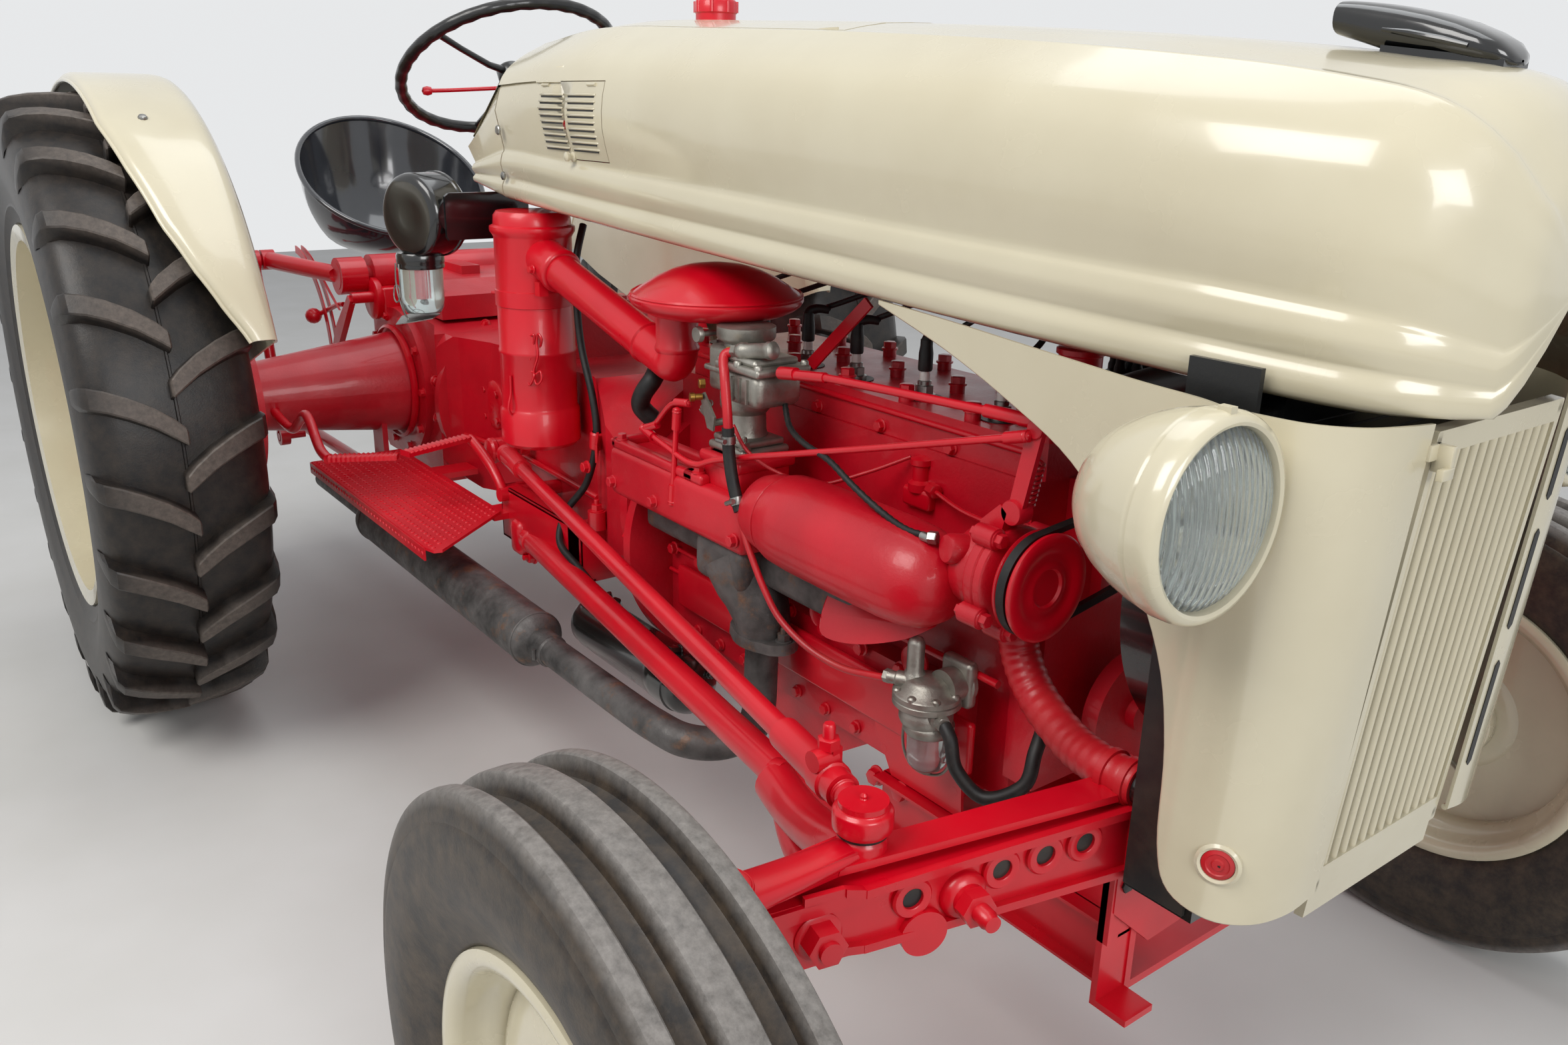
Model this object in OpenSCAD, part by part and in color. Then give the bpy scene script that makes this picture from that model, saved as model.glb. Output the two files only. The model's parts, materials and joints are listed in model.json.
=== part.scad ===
/* [Layout] */
// Distance from the rear axle to the front kingpins
wheelbase = 2030; // [1900:5:2200]
// Distance between the middles of the rear tyres
rear_track = 1490; // [1450:5:1560]
// Distance between the middles of the front tyres
front_track = 1506; // [1480:2:1560]
// Width of the gap between pieces that seat on each other
seat_gap = 0.3; // [0.1:0.1:0.5]
// Clearance on the radius of a turning pin or shaft
pin_gap = 0.3; // [0.1:0.05:0.5]

/* [Rear wheels] */
// Radius of a rear tyre over its lugs
rear_tyre_r = 620; // [590:5:660]
// Width of a rear tyre
rear_tyre_w = 290; // [260:5:320]
// Height of a lug over the carcass
lug_h = 32; // [20:1:40]
// Lugs round each half of a rear tyre
lug_count = 24; // [20:1:26]
// Radius of the rear rim's bead seat
rear_rim_r = 356; // [330:2:370]
// Width of the rear rim
rear_rim_w = 254; // [220:2:270]

/* [Front wheels] */
// Radius of a front tyre over its ribs
front_tyre_r = 362; // [340:2:380]
// Width of a front tyre
front_tyre_w = 150; // [136:2:160]
// Radius of the front rim's bead seat
front_rim_r = 203; // [190:1:215]
// Width of the front rim
front_rim_w = 114; // [100:2:130]

/* [Driveline] */
// Radius of the rear axle trumpets at their inner end
trumpet_r = 118; // [100:2:130]
// Radius of the rear brake drums
drum_r = 178; // [160:2:190]
// Where the transmission bolts to the rear axle housing
gearbox_rear_x = 275; // [250:5:300]
// Where the engine bolts to the bell housing
bell_x = 1142; // [1120:2:1160]
// Half of the bell housing's width
bell_half_w = 205; // [180:5:220]
// Half of the gearbox's width
gearbox_half_w = 105; // [90:5:115]

/* [Engine] */
// Length of the cylinder block
block_len = 740; // [700:5:745]
// Half of the cylinder block's width
block_half_w = 110; // [95:1:112]
// Height of the block's deck over the ground
deck_z = 840; // [820:2:850]
// Thickness of the cylinder head
head_h = 46; // [36:2:50]
// Radius of the exhaust pipe
exhaust_r = 24; // [20:1:28]
// Radius of the muffler
muffler_r = 46; // [40:1:52]

/* [Sheet metal] */
// Thickness of the hood and its panels
sheet_t = 4; // [3:0.5:5]
// Radius of the rear fenders about the axle
fender_r = 655; // [645:5:700]
// Width of a rear fender
fender_w = 180; // [150:5:185]
// Number of bars in the grille
grille_bars = 12; // [8:1:14]
// Radius of a headlight
headlight_r = 86; // [75:1:92]

/* [Controls] */
// Radius of the steering wheel to the middle of its rim
steering_wheel_r = 217; // [190:1:225]
// Radius of the steering wheel's rim
steering_rim_r = 12; // [9:0.5:14]
// Lean of the steering wheel from level
steering_tilt = 32; // [25:1:38]
// Length of a pitman arm
pitman_len = 240; // [220:2:250]
// Half of the seat's width
seat_half_w = 235; // [210:5:250]

/* [Hitch] */
// Length of a lift arm
lift_arm_len = 270; // [240:5:290]
// Length of a lower link
lower_link_len = 860; // [820:5:900]
// Radius of a hole in a lower link's ball
link_ball_bore_r = 11.2; // [11:0.1:14.5]
// Radius of the power take-off shaft
pto_r = 17.5; // [14:0.5:17.5]

/* [Hidden] */
$fn = 48;

// Sides of the tractor, as factors of y
RIGHT = -1;
LEFT = 1;
// Working clearance beside a part that moves
clear = 6;

// Paint
cream = [0.81, 0.78, 0.68];
red = [0.72, 0.06, 0.08];
black = [0.05, 0.05, 0.055];
grey = [0.5, 0.51, 0.5];
cast = [0.16, 0.155, 0.15];
rubber = [0.08, 0.078, 0.075];
clear_glass = [0.8, 0.85, 0.85, 0.5];

// Heights and places that several pieces share, from the rear axle's middle on the ground
rear_axle_z = rear_tyre_r;
front_hub_z = front_tyre_r;
rear_tyre_y = rear_track / 2;
drum_y = rear_tyre_y - 160;
drum_recess = 60;
front_tyre_y = front_track / 2;
kingpin_y = front_tyre_y - 117;
kingpin_r = 14;
block_x0 = bell_x + seat_gap;
block_x1 = block_x0 + block_len;
engine_z = rear_axle_z;
head_z = deck_z + seat_gap;
head_top = head_z + head_h;
gearbox_top = rear_axle_z + 150;
sector_x = 576;
sector_z = 829;
sector_r = 16;
pitman_y = 128;
link_y = 175;
pitman_ball_z = sector_z - pitman_len;
// Ball stud at the foot of a pitman arm
ball_r = 9;
lift_x = -120;
lift_z = 850;
lift_y = 330;
drawbar_x = -690;
link_pivot_x = 40;
link_pivot_z = 430;
link_rise = 3;
rod_along = 340;
lift_rise = 3;
wheel_hub = [320, 0, 1299];
grille_foot = [2272, 500];
grille_head = [2308, 1000];
grille_half_w = 119;
rear_reach = link_pivot_x - lower_link_len - 22;
front_reach = wheelbase + front_tyre_r;
mid_x = (front_reach + rear_reach) / 2;

// Puts the tractor's middle over the origin
module place() {
    translate([-mid_x, 0, 0]) children();
}

module both_sides() {
    children();
    mirror([0, 1, 0]) children();
}

// Pieces are drawn on the right-hand side and mirrored for the left
module on_side(side) {
    if (side == RIGHT) children();
    else mirror([0, 1, 0]) children();
}

function unit(v) = v / norm(v);

// A round bar from a to b
module bar(a, b, r, r2 = undef) {
    v = b - a;
    translate(a)
        rotate([0, acos(v.z / norm(v)), atan2(v.y, v.x)])
        cylinder(h = norm(v), r1 = r, r2 = is_undef(r2) ? r : r2);
}

// A bar along X, Y or Z from a point
module x_bar(p, len, r) { translate(p) rotate([0, 90, 0]) cylinder(h = len, r = r); }
module y_bar(p, len, r) { translate(p) rotate([-90, 0, 0]) cylinder(h = len, r = r); }
module z_bar(p, len, r) { translate(p) cylinder(h = len, r = r); }

// A box between two corners
module span(a, b) { translate(a) cube(b - a); }

// A profile in X and Z, as deep as y0 to y1
module side_plate(y0, y1, points) {
    translate([0, y1, 0]) rotate([90, 0, 0]) linear_extrude(y1 - y0) polygon(points);
}

// A profile of radius and y, turned about the Y axis
module turn_y(points, sides = 72) {
    rotate([90, 0, 0]) rotate_extrude($fn = sides) polygon(points);
}

// A smooth route through a few points
function curve_point(p, i, t) =
    let (a = p[max(i - 1, 0)], b = p[i], c = p[i + 1], d = p[min(i + 2, len(p) - 1)])
    0.5 * (2 * b + (c - a) * t + (2 * a - 5 * b + 4 * c - d) * t * t
           + (3 * b - a - 3 * c + d) * t * t * t);
function smooth(p, steps) = concat(
    [for (i = [0:len(p) - 2]) for (k = [0:steps - 1]) curve_point(p, i, k / steps)],
    [p[len(p) - 1]]);

// Directions across a route, each carried on from the last one without twist
function carried(along, done) =
    len(done) == len(along) ? done
    : let (t = along[len(done)], u = done[len(done) - 1])
      carried(along, concat(done, [unit(u - (u * t) * t)]));

// A tube swept along a route; side is a direction across the route's start
module sweep(route, r, side = [0, 1, 0], sides = 10) {
    n = len(route);
    along = [for (i = [0:n - 1]) unit(route[min(i + 1, n - 1)] - route[max(i - 1, 0)])];
    across = carried(along, [unit(cross(along[0], side))]);
    rings = [for (i = [0:n - 1])
        let (u = across[i], v = cross(along[i], u))
        for (k = [0:sides - 1])
            route[i] + r * (cos(360 * k / sides) * u + sin(360 * k / sides) * v)];
    walls = [for (i = [0:n - 2]) for (k = [0:sides - 1])
        let (a = i * sides + k, b = i * sides + (k + 1) % sides)
        each [[a, b + sides, b], [a, a + sides, b + sides]]];
    ends = [[for (k = [0:sides - 1]) k], [for (k = [sides - 1:-1:0]) (n - 1) * sides + k]];
    polyhedron(rings, concat(walls, ends));
}

// A sheet between an outer and an inner grid of points, given as rows of equal length.
// A capped sheet is closed across its first row (-1) or its last row (1).
module sheet(outer, inner, capped = 0) {
    rows = len(outer);
    cols = len(outer[0]);
    half = rows * cols;
    points = concat([for (row = outer) each row], [for (row = inner) each row]);
    skins = [for (i = [0:rows - 2]) for (j = [0:cols - 2])
        let (a = i * cols + j, b = a + 1, c = a + cols, d = c + 1)
        each [[a, c, b], [b, c, d], [half + a, half + b, half + c], [half + b, half + d, half + c]]];
    last = (rows - 1) * cols;
    row_edges = [for (j = [0:cols - 2]) let (a = j, b = j + 1, c = last + j, d = c + 1) each concat(
        capped == -1 ? [] : [[a, b, half + a], [b, half + b, half + a]],
        capped == 1 ? [] : [[c, half + c, d], [d, half + c, half + d]])];
    up = [for (j = [0:cols - 1]) j];
    down = [for (j = [cols - 1:-1:0]) j];
    end = cols - 1;
    caps = capped == 1
        ? [[for (j = down) last + j], [for (j = up) half + last + j],
           [last + end, last, half + last, half + last + end]]
        : capped == -1
        ? [up, [for (j = down) half + j], [0, end, half + end, half]]
        : [];
    col_edges = [for (i = [0:rows - 2])
        let (a = i * cols, c = a + cols, b = a + cols - 1, d = b + cols)
        each [[a, half + a, c], [c, half + a, half + c], [b, d, half + b], [d, half + d, half + b]]];
    polyhedron(points, [for (f = concat(skins, row_edges, col_edges, caps))
        [for (k = [len(f) - 1:-1:0]) f[k]]]);
}

// Castings of the driveline
module transmission_case() {
    shaft_z = rear_axle_z;
    color(red) union() {
        // Gearbox and bell housing, flared in plan and in side view
        intersection() {
            side_plate(-bell_half_w, bell_half_w, [
                [gearbox_rear_x + seat_gap, shaft_z - 175], [480, shaft_z - 165],
                [800, shaft_z - 180], [1060, shaft_z - 215], [bell_x, shaft_z - 215],
                [bell_x, shaft_z + 205], [1075, shaft_z + 205], [900, shaft_z + 165],
                [700, gearbox_top], [gearbox_rear_x + seat_gap, gearbox_top]]);
            translate([0, 0, shaft_z - 240]) linear_extrude(480) polygon([
                for (s = [1, -1]) each let (half = [
                    [gearbox_rear_x, 180], [330, 150], [420, 118], [520, gearbox_half_w],
                    [700, gearbox_half_w + 6], [880, 128], [1020, 185], [bell_x, bell_half_w]])
                    [for (i = [0:len(half) - 1])
                        let (p = half[s > 0 ? i : len(half) - 1 - i]) [p.x, s * p.y]]]);
            rounded_bell(shaft_z);
        }
        // Bolting flanges at both ends
        intersection() {
            span([bell_x - 22, -bell_half_w - 12, shaft_z - 222],
                 [bell_x, bell_half_w + 12, shaft_z + 216]);
            x_bar([bell_x - 22, 0, shaft_z], 22, bell_half_w + 12);
        }
        intersection() {
            span([gearbox_rear_x + seat_gap, -190, shaft_z - 180],
                 [gearbox_rear_x + 22, 190, gearbox_top]);
            x_bar([gearbox_rear_x + seat_gap, 0, shaft_z], 22, 190);
        }
        // Steering gear and the sector shafts that leave it on both sides
        span([sector_x - 70, -70, gearbox_top - 5], [sector_x + 90, 70, sector_z + 45]);
        both_sides() {
            y_bar([sector_x, -pitman_y + clear + 8, sector_z], 70, 34);
            y_bar([sector_x, -pitman_y - 20, sector_z], 80, sector_r);
        }
        // Gear lever tower
        z_bar([410, 0, gearbox_top - 5], 70, 62);
    }
    color(black) union() {
        bar([410, 0, gearbox_top + 60], [300, 0, 1050], 8);
        translate([300, 0, 1056]) sphere(20);
    }
}

module rounded_bell(z) {
    x_bar([gearbox_rear_x - 5, 0, z], bell_x - gearbox_rear_x + 10, bell_half_w + 12);
}

module rear_axle_housing() {
    inner_y = 150;
    color(red) union() {
        // Centre housing
        intersection() {
            side_plate(-190, 190, [
                [-190, rear_axle_z - 150], [-150, rear_axle_z - 190], [180, rear_axle_z - 190],
                [gearbox_rear_x, rear_axle_z - 175], [gearbox_rear_x, gearbox_top],
                [100, rear_axle_z + 165], [-170, rear_axle_z + 165], [-190, rear_axle_z + 140]]);
            translate([0, 0, rear_axle_z - 220]) linear_extrude(440) polygon([
                [-190, -inner_y], [200, -inner_y], [gearbox_rear_x, -180],
                [gearbox_rear_x, 180], [200, inner_y], [-190, inner_y]]);
        }
        both_sides() {
            translate([0, -inner_y + 5, rear_axle_z]) rotate([90, 0, 0])
                cylinder(h = 22, r = 168);
            translate([0, -inner_y + 5, rear_axle_z]) rotate([90, 0, 0])
                cylinder(h = drum_y - 60 - inner_y, r1 = trumpet_r, r2 = 70);
            difference() {
                y_bar([0, -drum_y, rear_axle_z], 75, drum_r);
                y_bar([0, -drum_y - 1, rear_axle_z], drum_recess, 30 + pin_gap);
            }
        }
        // Power take-off housing and shaft
        x_bar([-215, 0, rear_axle_z - 60], 30, 62);
        x_bar([-300, 0, rear_axle_z - 60], 100, pto_r);
        // Drawbar under the housing, with its hole at the rear
        difference() {
            union() {
                span([drawbar_x, -38, 388], [220, 38, 413]);
                z_bar([drawbar_x, 0, 388], 25, 38);
            }
            z_bar([drawbar_x, 0, 380], 50, 12);
        }
        span([-140, -60, 413], [-60, 60, rear_axle_z - 180]);
        span([100, -60, 413], [180, 60, rear_axle_z - 180]);
        // Brackets that carry the lower links
        both_sides() span([link_pivot_x - 32, -240, link_pivot_z - 30],
                          [link_pivot_x + 32, -228, rear_axle_z - 50]);
        both_sides() y_bar([link_pivot_x, -282, link_pivot_z], 54, 14);
    }
}

module lift_cover() {
    base = rear_axle_z + 165 + seat_gap;
    color(red) union() {
        side_plate(-130, 130, [
            [-185, base], [200, base], [195, base + 50], [120, base + 75], [-60, base + 78],
            [-185, base + 60]]);
        y_bar([lift_x, -175, lift_z], 350, 46);
        y_bar([lift_x, -212, lift_z], 424, 22);
        // Rocker for the top link
        span([-215, -30, lift_z - 40], [-180, 30, lift_z + 25]);
        // Leaf spring that carries the seat
        translate([0, -22, 0]) rotate([-90, 0, 0]) linear_extrude(44) polygon([
            [60, -(base + 70)], [60, -(base + 95)], [-60, -(base + 95)], [-300, -858],
            [-455, -862], [-455, -854], [-300, -850], [-70, -(base + 78)]]);
    }
}

// Rear wheels
crown_r = rear_tyre_r - lug_h;
module rear_tyre(side) {
    wide = rear_tyre_w / 290;
    half = [
        [rear_rim_r + seat_gap, 112], [rear_rim_r + 40, 118], [430, 138], [480, 145],
        [crown_r - 58, 142], [crown_r - 26, 130], [crown_r - 8, 90], [crown_r - 1.5, 45],
        [crown_r, 5]];
    color(rubber) on_side(side) translate([0, -rear_tyre_y, rear_axle_z]) {
        turn_y(concat([for (p = half) [p.x, p.y * wide]],
                      [for (i = [len(half) - 1:-1:0]) [half[i].x, -half[i].y * wide]]), 96);
        // Two rows of lugs that lean to the middle, one half a pitch behind the other
        for (i = [0:lug_count - 1]) {
            rotate([0, -i * 360 / lug_count, 0]) lug(wide);
            rotate([0, -(i + 0.5) * 360 / lug_count, 0]) mirror([0, 1, 0]) lug(wide);
        }
    }
}

// One lug, as sections from the middle of the tread to the shoulder
module lug(wide) {
    foot_gap = 0.9;
    // Way round the tread, half width, radius and y of the top, radius and y of the foot
    sections = [
        [2, 15, rear_tyre_r, -5, crown_r + foot_gap, -5],
        [42, 17.5, rear_tyre_r - 1, 45, crown_r - 1.5 + foot_gap, 45],
        [66, 18, rear_tyre_r - 7, 90, crown_r - 8 + foot_gap, 90],
        [81, 18, rear_tyre_r - 19, 131, crown_r - 26 + foot_gap, 131],
        [90, 11, crown_r - 34, 144.6, crown_r - 57, 143.4]];
    flare = 9;
    corners = [for (q = sections) let (way = q[0], half_w = q[1])
        each [for (c = [[-flare - half_w, q[4], q[5]], [-half_w, q[2], q[3]],
                        [half_w, q[2], q[3]], [flare + half_w, q[4], q[5]]])
            let (turn = (way + c[0]) / rear_tyre_r * 180 / PI)
            [c[1] * cos(turn), c[2] * wide, c[1] * sin(turn)]]];
    last = 4 * (len(sections) - 1);
    walls = [for (i = [0:len(sections) - 2]) for (k = [0:3])
        let (a = 4 * i + k, b = 4 * i + (k + 1) % 4)
        each [[a, b, b + 4], [a, b + 4, a + 4]]];
    polyhedron(corners, concat(walls, [[3, 2, 1, 0], [last, last + 1, last + 2, last + 3]]));
}

module rear_wheel(side) {
    hub_y = 70;
    color(cream) on_side(side) translate([0, -rear_tyre_y, rear_axle_z]) {
        rotate([90, 0, 0]) {
            // Rim with its flanges and drop centre
            rotate_extrude($fn = 72) polygon([
                [rear_rim_r + 22, rear_rim_w / 2], [rear_rim_r - 8, rear_rim_w / 2 - 4],
                [rear_rim_r - 10, 60], [rear_rim_r - 42, 45], [rear_rim_r - 42, -45],
                [rear_rim_r - 10, -60], [rear_rim_r - 8, 4 - rear_rim_w / 2],
                [rear_rim_r + 22, -rear_rim_w / 2], [rear_rim_r + 22, -rear_rim_w / 2 + 10],
                [rear_rim_r, -rear_rim_w / 2 + 12], [rear_rim_r, -60],
                [rear_rim_r - 34, -38], [rear_rim_r - 34, 38], [rear_rim_r, 60],
                [rear_rim_r, rear_rim_w / 2 - 12], [rear_rim_r + 22, rear_rim_w / 2 - 10]]);
            // Dished centre
            difference() {
                rotate_extrude($fn = 72) polygon([
                    [40, -hub_y], [120, -hub_y], [200, -10], [300, 18], [rear_rim_r - 42, 18],
                    [rear_rim_r - 42, 6], [300, 6], [206, -22], [126, -hub_y - 12],
                    [40, -hub_y - 12]]);
                for (i = [0:7]) rotate([0, 0, i * 45])
                    translate([255, 0, -30]) cylinder(h = 80, r = 24);
            }
            translate([0, 0, -150]) cylinder(h = 110, r = 75);
            translate([0, 0, -hub_y]) cylinder(h = 55, r = 48);
            translate([0, 0, drum_y - rear_tyre_y - drum_recess + 7]) cylinder(h = 90, r = 30);
        }
    }
}

// Front wheels and steering
module front_tyre(side) {
    // Three ribs with wide grooves between them
    half = [
        [front_rim_r + seat_gap, 46], [front_rim_r + 17, 48], [front_rim_r + 18, 56], [255, 69], [290, 75],
        [325, 73], [346, 67], [front_tyre_r - 3, 62], [front_tyre_r - 2, 46], [front_tyre_r - 20, 39],
        [front_tyre_r - 22, 30], [front_tyre_r - 20, 21], [front_tyre_r, 14]];
    color(rubber) on_side(side) translate([wheelbase, -front_tyre_y, front_hub_z])
        turn_y(concat([for (p = half) [p.x, p.y * front_tyre_w / 150]],
                      [for (i = [len(half) - 1:-1:0]) [half[i].x, -half[i].y * front_tyre_w / 150]]));
}

module front_wheel(side) {
    color(cream) on_side(side) translate([wheelbase, -front_tyre_y, front_hub_z])
        rotate([90, 0, 0]) {
            rotate_extrude($fn = 72) polygon([
                [front_rim_r + 16, front_rim_w / 2], [front_rim_r - 6, front_rim_w / 2 - 3],
                [front_rim_r - 6, 30], [front_rim_r - 24, 22], [front_rim_r - 24, -22],
                [front_rim_r - 6, -30], [front_rim_r - 6, 3 - front_rim_w / 2],
                [front_rim_r + 16, -front_rim_w / 2], [front_rim_r + 16, -front_rim_w / 2 + 7],
                [front_rim_r, -front_rim_w / 2 + 10], [front_rim_r, -28],
                [front_rim_r - 18, -16], [front_rim_r - 18, 16], [front_rim_r, 28],
                [front_rim_r, front_rim_w / 2 - 10], [front_rim_r + 16, front_rim_w / 2 - 7]]);
            difference() {
                union() {
                    rotate_extrude($fn = 72) polygon([
                        [0, -18], [80, -18], [130, 6], [front_rim_r - 24, 6],
                        [front_rim_r - 24, 12], [128, 12], [76, -10], [0, -10]]);
                    translate([0, 0, -75]) cylinder(h = 70, r = 42);
                    translate([0, 0, -12]) cylinder(h = 45, r = 34);
                }
                translate([0, 0, -76]) cylinder(h = 80, r = 18 + pin_gap);
            }
        }
}

boss_z0 = 496;
boss_z1 = 566;
boss_r = 30;
module spindle(side) {
    arm = kingpin_y - 477;
    color(red) on_side(side) translate([wheelbase, -kingpin_y, 0]) {
        z_bar([0, 0, front_hub_z - 34], boss_z1 + 40 - front_hub_z + 34, kingpin_r);
        // Knuckle and stub axle
        z_bar([0, 0, front_hub_z - 40], boss_z0 - seat_gap - front_hub_z + 40, 26);
        translate([0, -10, front_hub_z]) rotate([90, 0, 0])
            cylinder(h = front_tyre_y - kingpin_y - 10 - 75 - 1, r = 30);
        translate([0, 0, front_hub_z]) rotate([90, 0, 0])
            cylinder(h = front_tyre_y - kingpin_y, r = 18);
        // Steering arm, keyed to the top of the kingpin
        z_bar([0, 0, boss_z1 + seat_gap], 42, boss_r - 1);
        span([-16, 0, boss_z1 + 12], [16, arm, boss_z1 + 30]);
        z_bar([0, arm, boss_z1 + 12], 18, 24);
    }
}

arm_sweep = tan(12);
arm_droop = tan(2.5);
axle_z = 528;
module front_axle() {
    beam_half = 200;
    arm_h = 88;
    beam_x = wheelbase - 20 + (kingpin_y - beam_half) * arm_sweep;
    beam_z = axle_z + (kingpin_y - beam_half) * arm_droop;
    color(red) union() {
        span([beam_x - 24, -beam_half - 2, beam_z - arm_h / 2],
             [beam_x + 24, beam_half + 2, beam_z + 30]);
        both_sides() {
            difference() {
                union() {
                    // Swept arm
                    intersection() {
                        translate([0, 0, 400]) linear_extrude(300) polygon([
                            [beam_x - 22, -beam_half], [beam_x + 22, -beam_half],
                            [wheelbase + 2, -kingpin_y], [wheelbase - 42, -kingpin_y]]);
                        translate([1800, 0, 0]) rotate([90, 0, 90]) linear_extrude(500) polygon([
                            [-beam_half, beam_z - arm_h / 2], [-beam_half, beam_z + 30],
                            [-kingpin_y, axle_z + arm_h / 2 - 6],
                            [-kingpin_y, axle_z - arm_h / 2 + 12]]);
                    }
                    z_bar([wheelbase, -kingpin_y, boss_z0], boss_z1 - boss_z0, boss_r);
                }
                z_bar([wheelbase, -kingpin_y, boss_z0 - 60], 160, kingpin_r + pin_gap);
                z_bar([wheelbase, -kingpin_y, boss_z1], 60, 40);
                z_bar([wheelbase, -kingpin_y, boss_z0 - 60], 60, 40);
            }
            // Radius rod, from its yoke on the beam to its ball under the gearbox
            bar([beam_x - 150, -400, 505], [740, -205, 462], 21);
            bar([beam_x - 20, -440, 505], [beam_x - 155, -400, 505], 24);
            translate([735, -204, 462]) sphere(28);
        }
    }
}

module front_support() {
    color(red) union() {
        // Tray that carries the axle's pivot
        difference() {
            span([1700, -150, 318], [2108, 150, 400]);
            span([1690, -140, 328], [2120, 140, 410]);
        }
        both_sides() span([2098, -196, 318], [2146, -150, 326]);
        both_sides() span([2098, -196, 325], [2106, -150, 502.6]);
    }
}

module pitman_arm(side) {
    color(red) on_side(side) difference() {
        union() {
            y_bar([sector_x, -pitman_y - 16, sector_z], 30, 30);
            side_plate(-pitman_y - 12, -pitman_y + 6, [
                [sector_x - 22, sector_z], [sector_x + 22, sector_z],
                [sector_x + 15, pitman_ball_z], [sector_x - 15, pitman_ball_z]]);
            y_bar([sector_x, -pitman_y - 12, pitman_ball_z], 18, 18);
            y_bar([sector_x, -link_y - 12, pitman_ball_z], link_y - pitman_y, ball_r);
        }
        y_bar([sector_x, -pitman_y - 30, sector_z], 60, sector_r + pin_gap);
    }
}

module drag_link(side) {
    rear = [sector_x, -link_y, pitman_ball_z];
    front = [wheelbase, -477, 623];
    v = unit(front - rear);
    color(red) on_side(side) difference() {
        union() {
            bar(rear, front, 13);
            bar(rear + 40 * v, rear + 170 * v, 18);
            bar(front - 170 * v, front - 40 * v, 18);
            y_bar(rear - [0, 14, 0], 28, 24);
            z_bar(front - [0, 0, 14], 28, 24);
            z_bar(front - [0, 0, 24.5], 12, 11);
        }
        y_bar(rear - [0, 20, 0], 40, ball_r + pin_gap);
    }
}

// Engine
module engine_block() {
    color(red) union() {
        span([block_x0, -block_half_w, engine_z - 190], [block_x1, block_half_w, deck_z]);
        span([block_x0, -145, engine_z - 200], [block_x1 - 60, 145, engine_z - 60]);
        x_bar([block_x0, 0, engine_z - 60], 20, 225);
        // Oil pan
        side_plate(-125, 125, [
            [block_x0 + 20, engine_z - 199], [block_x0 + 60, engine_z - 270],
            [1560, engine_z - 270], [1640, engine_z - 215], [block_x1 - 60, engine_z - 210],
            [block_x1 - 60, engine_z - 199]]);
        // Timing cover and water pump
        span([block_x1 - 1, -120, engine_z - 150], [block_x1 + 45, 120, engine_z + 150]);
        span([block_x1 - 1, -50, 700], [block_x1 + 60, 50, deck_z - 2]);
        x_bar([block_x1, 0, 790], 130, 10);
        x_bar([block_x1 + 45, 0, 560], 60, 20);
        x_bar([block_x1 + 70, 0, 560], 22, 72);
    }
}

plug_x = [1777, 1642, 1506, 1398, 1290, 1190];
module cylinder_head() {
    color(red) union() {
        translate([0, 0, head_z]) linear_extrude(head_h) polygon([
            [block_x0 + 20, -98], [block_x0 + 30, -106], [block_x1 - 10, -106], [block_x1 + 2, -94],
            [block_x1 + 2, 94], [block_x1 - 10, 106], [block_x0 + 30, 106], [block_x0 + 20, 98]]);
        z_bar([block_x1 - 60, 5, head_z], head_h + 40, 42);
        for (i = [0:6]) for (y = [-90, 0, 90])
            if (i < 6 || y < 0) z_bar([1170 + i * 118, y, head_top - 1], 13, 10);
    }
}

module ignition() {
    color(black) union() {
        z_bar([1840, 95, head_top + seat_gap], 70, 34);
        for (x = plug_x) z_bar([x, -60, head_top + seat_gap], 62, 12);
    }
}

module spark_leads() {
    color(black) for (i = [0:5]) {
        start = [1840 + 20 * cos(i * 60 + 30), 95 + 20 * sin(i * 60 + 30), head_top + 72];
        high = 62 + 9 * i;
        sweep(smooth([start, start + [-6 * i, -6 * i, high - 10],
            [(1840 + plug_x[i]) / 2, 20 - 4 * i, head_top + 66 + high],
            [plug_x[i] + 22, -31, head_top + 90], [plug_x[i], -60, head_top + 64.8]], 4),
            3.5, [1, 0.6, 0], 6);
    }
}

manifold_y = -block_half_w - seat_gap;
module intake_manifold() {
    color(red) union() {
        span([1166, -260, 668], [1520, -185, 745]);
        for (x = [1225, 1440]) span([x - 40, -190, 680], [x + 40, manifold_y, 740]);
        span([1400, -240, 740], [1480, -150, 790]);
        x_bar([1515, -226, 735], 60, 50);
        x_bar([1568, -226, 735], 247, 62);
        translate([1815, -226, 735]) sphere(62);
    }
}

muffler_z = 397;
module exhaust() {
    color(cast) union() {
        span([1190, manifold_y - 60, 615], [1700, manifold_y, 660]);
        bar([1470, -200, 650], [1486, -200, 453], 34);
        z_bar([1486, -200, 440], 26, 55);
    }
    // Pipe that turns out under the manifold and runs back to the muffler with its tail pipe
    color(cast) sweep(smooth([[1486, -200, 440 - seat_gap], [1489, -203, 424], [1502, -220, 404],
        [1513, -250, 395], [1508, -290, 397], [1480, -325, 402], [1430, -339, 405],
        [1348, -340, 403], [1060 + seat_gap, -340, muffler_z]], 3), exhaust_r, [0, 1, 0], 12);
    color(cast) union() {
        x_bar([280, -340, muffler_z], 780, muffler_r);
        x_bar([-60, -340, muffler_z], 345, 22);
    }
}

module carburettor() {
    color(grey) union() {
        span([1398, -232, 790 + seat_gap], [1482, -152, 806]);
        z_bar([1420, -192, 800], 150, 34);
        span([1380, -225, 850], [1450, -160, 940]);
        span([1430, -245, 830], [1510, -165, 885]);
        x_bar([1450, -225, 900], 70, 10);
        z_bar([1400, -180, 940], 22, 40);
    }
}

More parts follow.
